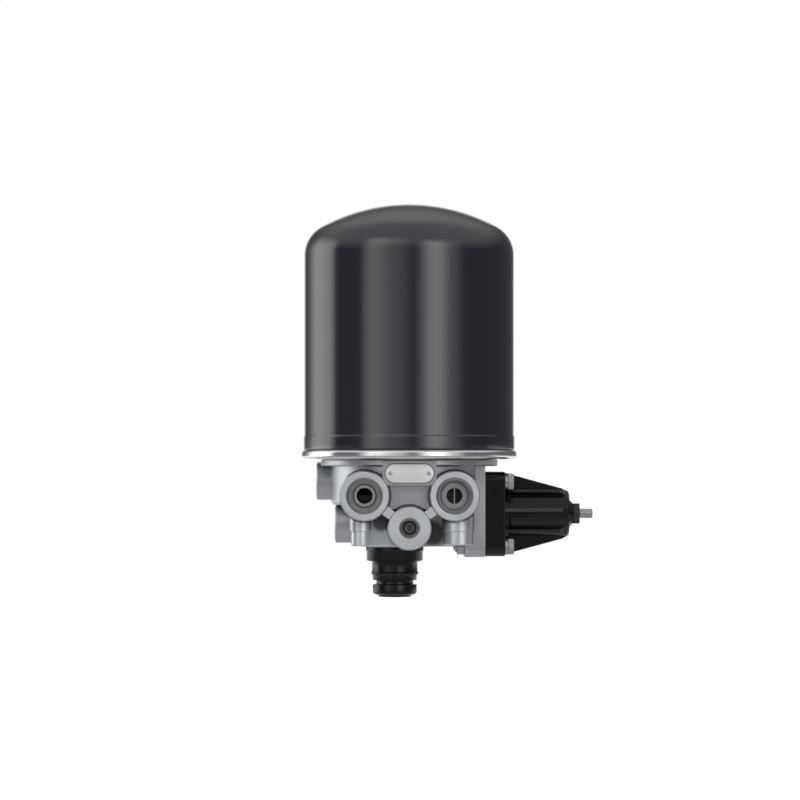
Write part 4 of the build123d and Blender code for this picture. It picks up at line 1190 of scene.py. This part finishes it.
@dataclass(frozen=True)
class Front:
    """Places on the housing's front, and the size of its plate."""

    axis_y: float = -75.0
    face: float = -137.0
    port_x: float = 28.6
    port_z: float = -5.4
    control_z: float = -25.8
    plate_face: float = -135.0
    plate_z: float = 8.95
    plate_length: float = 30.5
    plate_height: float = 11.8

    @property
    def plate_end(self) -> float:
        """Radius of the plate's round ends."""
        return self.plate_height / 2

    @property
    def plate_half(self) -> float:
        """Half the plate's straight length."""
        return self.plate_length / 2 - self.plate_end


FRONT = Front()


@dataclass(frozen=True)
class ValveHousing:
    """Die-cast housing with the threads of its ports and fixing holes."""

    port_boss: float = 16.4
    control_boss: float = 14.4
    # Rings of painted shade round each port: round the lip, round the boss, round the jet
    left_shade_rings: tuple[Span, ...] = ((7.1, 7.9), (16.2, 17.4))
    right_shade_rings: tuple[Span, ...] = ((16.2, 17.4),)
    control_shade_rings: tuple[Span, ...] = ((3.8, 5.0), (14.2, 15.6))
    web_face: float = 60.5
    web_place: Span = (-16.5, 30.0)
    deck: Span = (18.0, 58.0)
    regulator_pad: tuple[float, float, float] = (48.9, -17.5, 42.0)
    fixing_places: tuple[Span, ...] = ((-34.0, 0.0), (34.0, 0.0), (0.0, -24.0))
    fixing_face: float = 11.5
    inlet: BoreThread = BoreThread(10.95, 0.75, 1.5, -13.4, -0.9)
    outlet: BoreThread = BoreThread(11.1, 0.75, 1.5, -12.2, -0.9)
    control: BoreThread = BoreThread(5.95, 0.7, 1.5, -11.6, -0.9)
    fixing: BoreThread = BoreThread(5.95, 0.8, 1.75, 0.8, 19.0)
    # Painted shade in the left port's way and in the corners under the webs; painted light on the pillars
    # and by the regulator
    painted_light_and_shade: tuple[Patch, ...] = (
        Patch(x=-0.0286, z=-0.0054, radius=0.0085, shine=0.1, depths=(0.017, 0.2)),
        Patch(x=-0.018, z=-0.0225, radius=0.0075, shine=0.2, depths=(0.015, 0.034)),
        Patch(x=0.0145, z=-0.0295, radius=0.0105, shine=0.2, depths=(0.015, 0.034)),
        Patch(x=-0.023, z=-0.0335, radius=0.016, shine=1.55, depths=(0.007, 0.034)),
        Patch(x=0.0275, z=-0.032, radius=0.013, shine=1.45, depths=(0.004, 0.018)),
        Patch(x=0.062, z=-0.015, radius=0.031, shine=1.2, depths=(0.031, 0.037)),
    )

    def build(self) -> None:
        """Dresses the casting and the pieces in it, and makes the threads."""
        plate = PlateEdge(FRONT.plate_half * MM, FRONT.plate_end * MM, FRONT.plate_z * MM)
        casting = Casting("cast_aluminium", (0.485, 0.5, 0.52), 0.36, edge=0.0006,
                          faces=tuple(self.machined()), painted_light_and_shade=self.painted_light_and_shade, plate=plate)
        dress(casting, "housing")
        self.threads()
        dress(PALETTE.valve_disc, "check_valve_disc")
        dress(PALETTE.rubber, "neck_seal", "purge_piston_seal", "regulator_face_seal",
              "regulator_piston_seal")
        dress(PALETTE.spring, "check_valve_spring", "neck_retaining_ring")

    def machined(self) -> list[MachinedFace]:
        """Places of the machined faces.

        Returns:
            The ports' faces, then the webs, the deck, the regulator's pad and the fixing faces.
        """
        ports = ((-FRONT.port_x, FRONT.port_z, self.port_boss, self.left_shade_rings),
                 (FRONT.port_x, FRONT.port_z, self.port_boss, self.right_shade_rings),
                 (0.0, FRONT.control_z, self.control_boss, self.control_shade_rings))
        (web_z, web_reach), (deck, deck_reach) = self.web_place, self.deck
        pad_x, pad_z, pad_reach = self.regulator_pad
        faces = [self.face(Axis.Y, -1.0, (x, FRONT.face, z), reach, rings) for x, z, reach, rings in ports]
        faces.append(self.face(Axis.Y, -1.0, (0.0, FRONT.axis_y - self.web_face, web_z), web_reach))
        faces.append(self.face(Axis.Z, 1.0, (0.0, FRONT.axis_y, deck), deck_reach))
        faces.append(self.face(Axis.X, 1.0, (pad_x, FRONT.axis_y, pad_z), pad_reach))
        faces += [self.face(Axis.Y, 1.0, (x, 0.0, z), self.fixing_face) for x, z in self.fixing_places]
        return faces

    @staticmethod
    def face(axis: Axis, facing: float, centre: tuple[float, float, float], reach: float,
             rings: tuple[Span, ...] = ()) -> MachinedFace:
        """A machined face from sizes in millimetres.

        Args:
            axis: Axis that it is square to.
            facing: Side of that axis it looks to, 1 or -1.
            centre: Its centre.
            reach: Radius round the centre within which it lies.
            rings: Inner and outer radius of each ring of painted shade behind it.

        Returns:
            The face, in metres.
        """
        placed = tuple(part * MM for part in centre)
        painted_shade = tuple((inner * MM, outer * MM) for inner, outer in rings)
        return MachinedFace(axis, placed[axis.value], facing, placed, reach * MM, painted_shade)

    def threads(self) -> None:
        """Threads in the front ports and the rear fixing holes."""
        ports = ((self.inlet, -FRONT.port_x, FRONT.port_z), (self.outlet, FRONT.port_x, FRONT.port_z),
                 (self.control, 0.0, FRONT.control_z))
        front = joined(size.sleeve().moved(facing_front(x, FRONT.face, z)) for size, x, z in ports)
        rear = joined(self.fixing.sleeve().moved(facing_front(x, 0.0, z)) for x, z in self.fixing_places)
        Piece("port_threads", Slot.CASTING, PALETTE.thread).make(front)
        Piece("fixing_threads", Slot.CASTING, PALETTE.thread).make(rear)


@dataclass(frozen=True)
class BlankPlate:
    """Blank plate with round ends and its two rivets."""

    sheet: float = 0.8
    pressed_edge: tuple[Span, ...] = ((0.0, 0.0), (0.0, 0.55), (0.12, 0.74))
    pressed_inset: float = 0.3
    rivet_x: float = 12.2
    rivet_radius: float = 1.3
    rivet_shank: float = 0.6
    rivet_high: float = 1.4

    def build(self) -> None:
        """Makes the plate and the rivets."""
        rows = (*self.pressed_edge, (self.pressed_inset, self.sheet))
        plate = capsule(FRONT.plate_half, FRONT.plate_end, rows)
        place = facing_front(0.0, FRONT.plate_face, FRONT.plate_z)
        Piece("blank_plate", Slot.PLATE, PALETTE.plate, ("nameplate",)).make(plate.moved(place))
        rivet = lathe(self.rivet_outline(), 40)
        rivets = joined(rivet.moved(facing_front(x, FRONT.plate_face, FRONT.plate_z))
                        for x in (-self.rivet_x, self.rivet_x))
        Piece("plate_rivets", Slot.PLATE, PALETTE.rivet, ("nameplate_rivets",)).make(rivets)

    def rivet_outline(self) -> Outline:
        """Closed outline of a rivet: its shank in the plate and its low dome.

        Returns:
            Corners from the shank's foot up to the top.
        """
        shank, wide, under = self.rivet_shank, self.rivet_radius, self.sheet - 0.02
        dome = [(wide * math.cos(t), self.sheet + (self.rivet_high - self.sheet) * math.sin(t))
                for t in (math.radians(angle) for angle in range(10, 90, 16))]
        return [(0.0, 0.0), (shank, 0.0), (shank, under), (wide, under)] + dome + [(0.0, self.rivet_high)]


@dataclass(frozen=True)
class PortInserts:
    """What can be seen in the ports: the check valve's cage and the jet."""

    cage_low: float = -14.9
    cage_high: float = -12.9
    cage_hole: float = 5.0
    cage_radius: float = 9.45
    cage_groove: float = 8.6
    web_wide: float = 0.8
    web_fit: float = 0.3
    jet_low: float = -18.0
    jet_high: float = -12.5
    jet_radius: float = 3.9
    rim: Span = (2.6, 3.55)
    nozzle: Span = (0.5, 1.45)
    socket_deep: float = 3.6
    nozzle_drop: float = 1.3

    def build(self) -> None:
        """Makes the cage and the jet."""
        cage = self.cage().moved(facing_front(FRONT.port_x, FRONT.face, FRONT.port_z))
        Piece("valve_cage", Slot.ZINC, PALETTE.zinc, ("check_valve_cage",)).make(cage)
        jet = lathe(self.jet_outline(), 96).moved(facing_front(0.0, FRONT.face, FRONT.control_z))
        Piece("jet_insert", Slot.STEEL, PALETTE.dark_steel, ("throttle_insert",)).make(jet)

    def cage(self) -> Shape:
        """Ring with a turned groove and one thin web.

        Returns:
            The cage along +Z.
        """
        low, high, hole = self.cage_low, self.cage_high, self.cage_hole
        side, groove = self.cage_radius, self.cage_groove
        outline = [(hole, low), (side, low), (side, high - 0.3), (side - 0.3, high), (groove + 0.2, high),
                   (groove, high - 0.5), (groove - 0.2, high), (hole + 0.15, high), (hole, high - 0.15)]
        ring = lathe(outline, 128)
        web = bar(self.web_wide, 2 * (hole + self.web_fit), high - low)
        return ring + web.moved(Matrix.Translation((0.0, 0.0, (low + high) / 2)))

    def jet_outline(self) -> Outline:
        """Closed outline of the jet: a rim, a socket round a small nozzle, and its orifice.

        Returns:
            Corners from the foot round the outside and back through the orifice.
        """
        low, high, side = self.jet_low, self.jet_high, self.jet_radius
        floor, top = high - self.socket_deep, high - self.nozzle_drop
        (socket, rim), (orifice, nozzle) = self.rim, self.nozzle
        return rounded([(orifice, low), (side, low), (side, high - 2.0), (rim, high - 1.8),
                        (rim, high - 0.15), (rim - 0.15, high), (socket + 0.15, high), (socket, high - 0.2),
                        (socket, floor), (nozzle, floor), (nozzle, top - 0.3), (nozzle - 0.25, top),
                        (orifice + 0.2, top), (orifice, top - 0.2)], 0.1, 2)


@dataclass(frozen=True)
class ExhaustNeck:
    """Black exhaust neck with its coupling rings, and the purge valve inside.

    Each of its steps is a radius with a top and a bottom.
    """

    axis: Span = (-9.4, -71.0)
    seat: float = -30.0
    seat_hole: float = 7.0
    steps: tuple[tuple[float, float, float], ...] = (
        (13.9, -30.0, -32.6), (12.1, -32.6, -34.6), (13.9, -34.6, -36.1), (12.7, -36.1, -37.5),
        (13.9, -37.5, -39.1), (18.9, -39.1, -42.0), (18.4, -42.3, -48.2), (14.9, -49.2, -55.4),
        (15.6, -56.1, -56.6), (14.4, -58.2, -60.9), (12.1, -61.3, -63.5), (14.4, -63.9, -69.2))
    shoulder: Span = (13.5, -70.2)
    tip: Span = (10.8, -71.0)
    foot: float = -71.9
    outlet: Span = (9.0, -48.0)
    chamber: tuple[float, float, float] = (10.2, -46.8, -33.2)
    edge: float = 0.35
    segments: int = 128

    def build(self) -> None:
        """Makes the neck and dresses the purge valve."""
        neck = lathe(self.outline(), self.segments).moved(upright(*self.axis))
        Piece("outlet_neck", Slot.BLACK_PLASTIC, PALETTE.black_plastic, ("exhaust_neck",)).make(neck)
        dress(PALETTE.purge_piston, "purge_piston")
        dress(PALETTE.rubber, "exhaust_valve_disc")
        dress(PALETTE.zinc, "exhaust_valve_nut")
        dress(PALETTE.spring, "purge_spring")

    def outline(self) -> Outline:
        """Closed outline of the neck.

        Returns:
            Corners of the way inside from the seat down, then the steps outside going up.
        """
        corners = [(self.seat_hole, self.seat)]
        for radius, top, bottom in self.steps:
            corners += [(radius, top), (radius, bottom)]
        tip, outlet = self.tip[0], self.outlet[0]
        room, room_low, room_high = self.chamber
        corners += [self.shoulder, self.tip, (tip, self.foot), (outlet, self.foot), self.outlet,
                    (room, room_low), (room, room_high), (self.seat_hole, room_high)]
        return rounded(corners[::-1], self.edge)


@dataclass(frozen=True)
class Regulator:
    """Pressure regulator: ribbed cover, bolts, nuts, spring and adjusting screw."""

    axis_y: float = -75.0
    axis_z: float = -17.5
    face: float = 48.9
    flange: float = 13.0
    pad: float = 13.2
    offset: float = 21.0
    flats: float = 10.0
    head: float = 4.0
    washer: float = 1.6
    shank: float = 3.0
    upper_depth: float = 9.4
    lower_reach: float = 6.8
    bolt_nut_thick: float = 5.0
    tip_end: float = 106.9
    lock_flats: float = 13.0
    lock_thick: float = 4.1
    lock_bore: float = 4.05
    segments: int = 96

    def build(self) -> None:
        """Makes bolts and nuts and dresses the cover and what is inside."""
        dress(PALETTE.black_casting, "regulator_cover")
        dress(PALETTE.zinc, "lock_washers", "regulator_spring_seat")
        self.bolts()
        self.nuts()
        dress(PALETTE.screw, "adjusting_screw")
        dress(PALETTE.regulator_piston, "regulator_piston")
        dress(PALETTE.spring, "regulator_spring")

    def pair(self, shape: Shape, x: float, rise: float) -> Shape:
        """The same shape at both sides of the regulator's axis, at an x and a rise above it."""
        return joined(shape.moved(facing_right(x, self.axis_y + y, self.axis_z + rise))
                      for y in (-self.offset, self.offset))

    def bolt(self, end: float) -> Shape:
        """Hexagon bolt on its own axis.

        Args:
            end: X where its shank ends.

        Returns:
            The bolt along +Z, with Z equal to the dryer's X.
        """
        under = self.face + self.flange + self.washer
        corner, shank = self.flats / math.sqrt(3), self.shank
        top = under + self.head
        cone = [(corner - 0.16 * i, top - 0.62 + 0.62 * (i / 5) ** 0.8) for i in range(6)]
        outline: Outline = [(0.0, end), (shank - 0.6, end), (shank, end + 0.6), (shank, under),
                            (4.6, under), (4.8, under + 0.25), (corner, under + 0.3)]
        return lathe(outline + cone + [(4.5, top), (0.0, top)], self.segments, self.flats)

    def nut(self, flats: float, thick: float, bore: float) -> Shape:
        """Hexagon nut with both ends' corners turned off.

        Args:
            flats: Width across flats.
            thick: Height.
            bore: Radius of its hole.

        Returns:
            The nut, standing on Z 0.
        """
        corner = flats / math.sqrt(3)
        drop = corner - flats / 2
        side = [(corner - drop * t, drop * 0.6 * t) for t in (1.0, 0.75, 0.5, 0.25, 0.0)]
        outline = [(bore, 0.4), (bore + 0.4, 0.0)] + side
        outline += [(radius, thick - z) for radius, z in outline[::-1]]
        return lathe(outline, self.segments, flats)

    def bolts(self) -> None:
        """The two short upper bolts and the two long lower ones."""
        rows = {"upper": (self.face - self.upper_depth, self.offset),
                "lower": (self.face - self.pad - self.lower_reach, -self.offset)}
        for row, (end, rise) in rows.items():
            Piece(f"{row}_bolts", Slot.ZINC, PALETTE.zinc, (f"regulator_{row}_bolts",)).make(
                self.pair(self.bolt(end), 0.0, rise))

    def nuts(self) -> None:
        """Nuts on the lower bolts, and the lock nut of the adjusting screw."""
        nuts = self.pair(self.nut(self.flats, self.bolt_nut_thick, self.shank),
                         self.face - self.pad - self.bolt_nut_thick, -self.offset)
        Piece("bolt_nuts", Slot.ZINC, PALETTE.zinc, ("regulator_nuts",)).make(nuts)
        lock = self.nut(self.lock_flats, self.lock_thick, self.lock_bore).moved(
            facing_right(self.tip_end, self.axis_y, self.axis_z))
        Piece("screw_lock_nut", Slot.BLACK_CASTING, PALETTE.dark_nut, ("lock_nut",)).make(lock)


# Studio


@dataclass(frozen=True)
class Softbox:
    """A tall soft lamp whose brightness varies across it and fades at its top.

    The profile gives azimuth, in degrees from the front towards the right, and radiance.
    """

    name: str
    facing: float
    distance: float
    low: float
    high: float
    fade: float
    profile: tuple[tuple[float, float], ...]

    def build(self, target: Vector) -> None:
        """Makes the lamp and turns it to the dryer.

        Args:
            target: Point that it faces.
        """
        across = [self.distance * math.tan(math.radians(azimuth - self.facing))
                  for azimuth, _ in self.profile]
        left, right = across[0], across[-1]
        peak = max(radiance for _, radiance in self.profile)
        lamp = bpy.data.lights.new(self.name, "AREA")
        lamp.shape = "RECTANGLE"
        lamp.size, lamp.size_y = right - left, self.high - self.low
        lamp.energy = peak * math.pi * lamp.size * lamp.size_y
        stops = [((offset - left) / (right - left), (radiance / peak,) * 3)
                 for offset, (_, radiance) in zip(across, self.profile)]
        self.shade(lamp, stops)
        made = added(self.name, lamp)
        angle = math.radians(self.facing)
        outward = Vector((math.sin(angle), -math.cos(angle), 0.0))
        sideways = Vector((math.cos(angle), math.sin(angle), 0.0))
        made.location = (Vector((target.x, target.y, (self.low + self.high) / 2))
                         + outward * self.distance + sideways * ((left + right) / 2))
        made.rotation_euler = (-outward).to_track_quat("-Z", "Y").to_euler()
        LOG.info("lamp %s", self.name)

    def shade(self, lamp: bpy.types.Light, stops: Sequence[tuple[float, Colour]]) -> None:
        """Writes the lamp's brightness across and up.

        Args:
            lamp: The lamp.
            stops: Brightness across it, from its left end as seen from the dryer's front.
        """
        tree = Tree(lamp)
        across, up, _ = tree.parts(tree.node("ShaderNodeNewGeometry", output="Parametric"))
        colour = tree.node("ShaderNodeValToRGB", {"stops": stops}, {0: across})
        level = 1.0 - tree.step(up, 1.0 - self.fade, 1.0)
        glow = tree.node("ShaderNodeEmission", inputs={"Color": colour, "Strength": level})
        tree.node("ShaderNodeOutputLight", inputs={0: glow})


@dataclass(frozen=True)
class Studio:
    """Pale floor, white surroundings, soft lamps and the camera."""

    target: tuple[float, float, float] = (0.0, -0.075, 0.06)
    floor_level: float = -0.26
    floor_rings: tuple[float, ...] = (0.0, 400.0, 900.0, 6000.0)
    floor_fade: Span = (0.25, 0.9)
    floor_behind: Span = (0.1, 0.5)
    floor_glow: float = 0.5
    overhead: Span = (0.05, 0.6)
    white_behind: Span = (0.93, 0.97)
    ambient: float = 0.14
    ceiling: float = 0.5
    camera_place: tuple[float, float, float] = (-0.0086, -2.075, 0.020)
    frame_width: float = 0.5224
    distance: float = 2.0
    shift: tuple[float, float] = (0.005, 0.07)
    softboxes: tuple[Softbox, ...] = (
        Softbox("left_softbox", -112.0, 1.6, -0.2, 1.3, 0.55, (
            (-148.0, 0.0), (-136.0, 0.3), (-122.0, 1.5), (-110.0, 1.75), (-96.0, 1.65), (-90.0, 0.9),
            (-86.0, 0.0))),
        Softbox("front_left_softbox", -30.0, 1.8, -0.2, 2.1, 0.4, (
            (-54.0, 0.0), (-48.0, 0.7), (-40.0, 1.1), (-32.0, 0.97), (-24.0, 0.65), (-16.0, 0.46),
            (-8.0, 0.36), (-2.0, 0.18), (4.0, 0.0))),
        Softbox("front_right_softbox", 34.0, 1.8, -0.2, 1.6, 0.5, (
            (6.0, 0.0), (13.0, 0.48), (20.0, 1.4), (28.0, 1.85), (36.0, 1.4), (44.0, 0.6), (52.0, 0.36),
            (62.0, 0.0))),
    )

    def build(self) -> None:
        """Makes world, floor, lamps and camera."""
        self.world()
        self.floor()
        for softbox in self.softboxes:
            softbox.build(Vector(self.target))
        self.camera()

    @staticmethod
    def rays(tree: Tree) -> tuple[Value, Value]:
        """Masks of the rays that show the white surroundings.

        Args:
            tree: Tree that the nodes go into.

        Returns:
            One for camera and transmission rays, and one for glossy rays.
        """
        camera = tree.node("ShaderNodeLightPath", output="Is Camera Ray")
        outputs = camera.socket.node.outputs
        through, glossy = (Value(tree, outputs[name]) for name in ("Is Transmission Ray", "Is Glossy Ray"))
        return camera.most(through), glossy

    def world(self) -> None:
        """White surroundings behind the dryer, and a dimmer room in front of it."""
        world = bpy.data.worlds.new("studio_room")
        bpy.context.scene.world = world
        tree = Tree(world)
        direct, glossy = self.rays(tree)
        _, y, z = tree.parts(tree.node("ShaderNodeTexCoord", output="Generated"))
        overhead = tree.step(z - 0.3 * y.most(0.0), *self.overhead) * self.ceiling
        behind = tree.step(y, *self.white_behind)
        white = direct.most(glossy * behind)
        room = self.ambient + overhead
        strength = room + (1.0 - room) * white
        background = tree.node("ShaderNodeBackground", inputs={"Color": (1.0, 1.0, 1.0, 1.0),
                                                               "Strength": strength})
        tree.node("ShaderNodeOutputWorld", inputs={"Surface": background})

    def floor(self) -> None:
        """Wide pale floor that fades into the surroundings."""
        shape = lathe([(radius, 0.0) for radius in self.floor_rings], 96, closed=False)
        mesh = shape.mesh("floor")
        made = added("floor", mesh)
        made.location = (0.0, self.target[1], self.floor_level)
        material = bpy.data.materials.new("pale_floor")
        tree = Tree(material)
        direct, glossy = self.rays(tree)
        place = tree.place()
        far = tree.step(tree.distance(place, (0.0, 0.0, 0.0), (1.0, 1.0, 0.0)), *self.floor_fade)
        pale = tree.node("ShaderNodeBsdfDiffuse", inputs={"Color": (0.8, 0.8, 0.8, 1.0)})
        lift = tree.node("ShaderNodeEmission", inputs={"Strength": self.floor_glow * direct})
        near = tree.node("ShaderNodeAddShader", inputs={0: pale, 1: lift})
        behind = tree.step(tree.parts(place)[Axis.Y.value], *self.floor_behind)
        white = tree.node("ShaderNodeEmission",
                          inputs={"Strength": direct.most(glossy * behind) * 0.7 + 0.3})
        shader = tree.node("ShaderNodeMixShader", inputs={0: far, 1: near, 2: white})
        tree.node("ShaderNodeOutputMaterial", inputs={"Surface": shader})
        mesh.materials.append(material)

    def camera(self) -> None:
        """Camera at the photograph's place, level and square to the dryer."""
        data = bpy.data.cameras.new("camera")
        data.lens = data.sensor_width * self.distance / self.frame_width
        data.shift_x, data.shift_y = self.shift
        made = added("camera", data)
        made.location = self.camera_place
        made.rotation_euler = (math.radians(90), 0.0, 0.0)
        bpy.context.scene.camera = made
        bpy.context.scene.view_settings.view_transform = "Standard"


def main() -> None:
    """Builds the dryer's sub-assemblies and the studio."""
    logging.basicConfig(level=logging.INFO, format="%(message)s")
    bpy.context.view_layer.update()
    for assembly in (Cartridge(), ValveHousing(), BlankPlate(), PortInserts(), ExhaustNeck(), Regulator(),
                     Studio()):
        LOG.info("building %s", type(assembly).__name__)
        assembly.build()


if __name__ == "__main__":
    main()
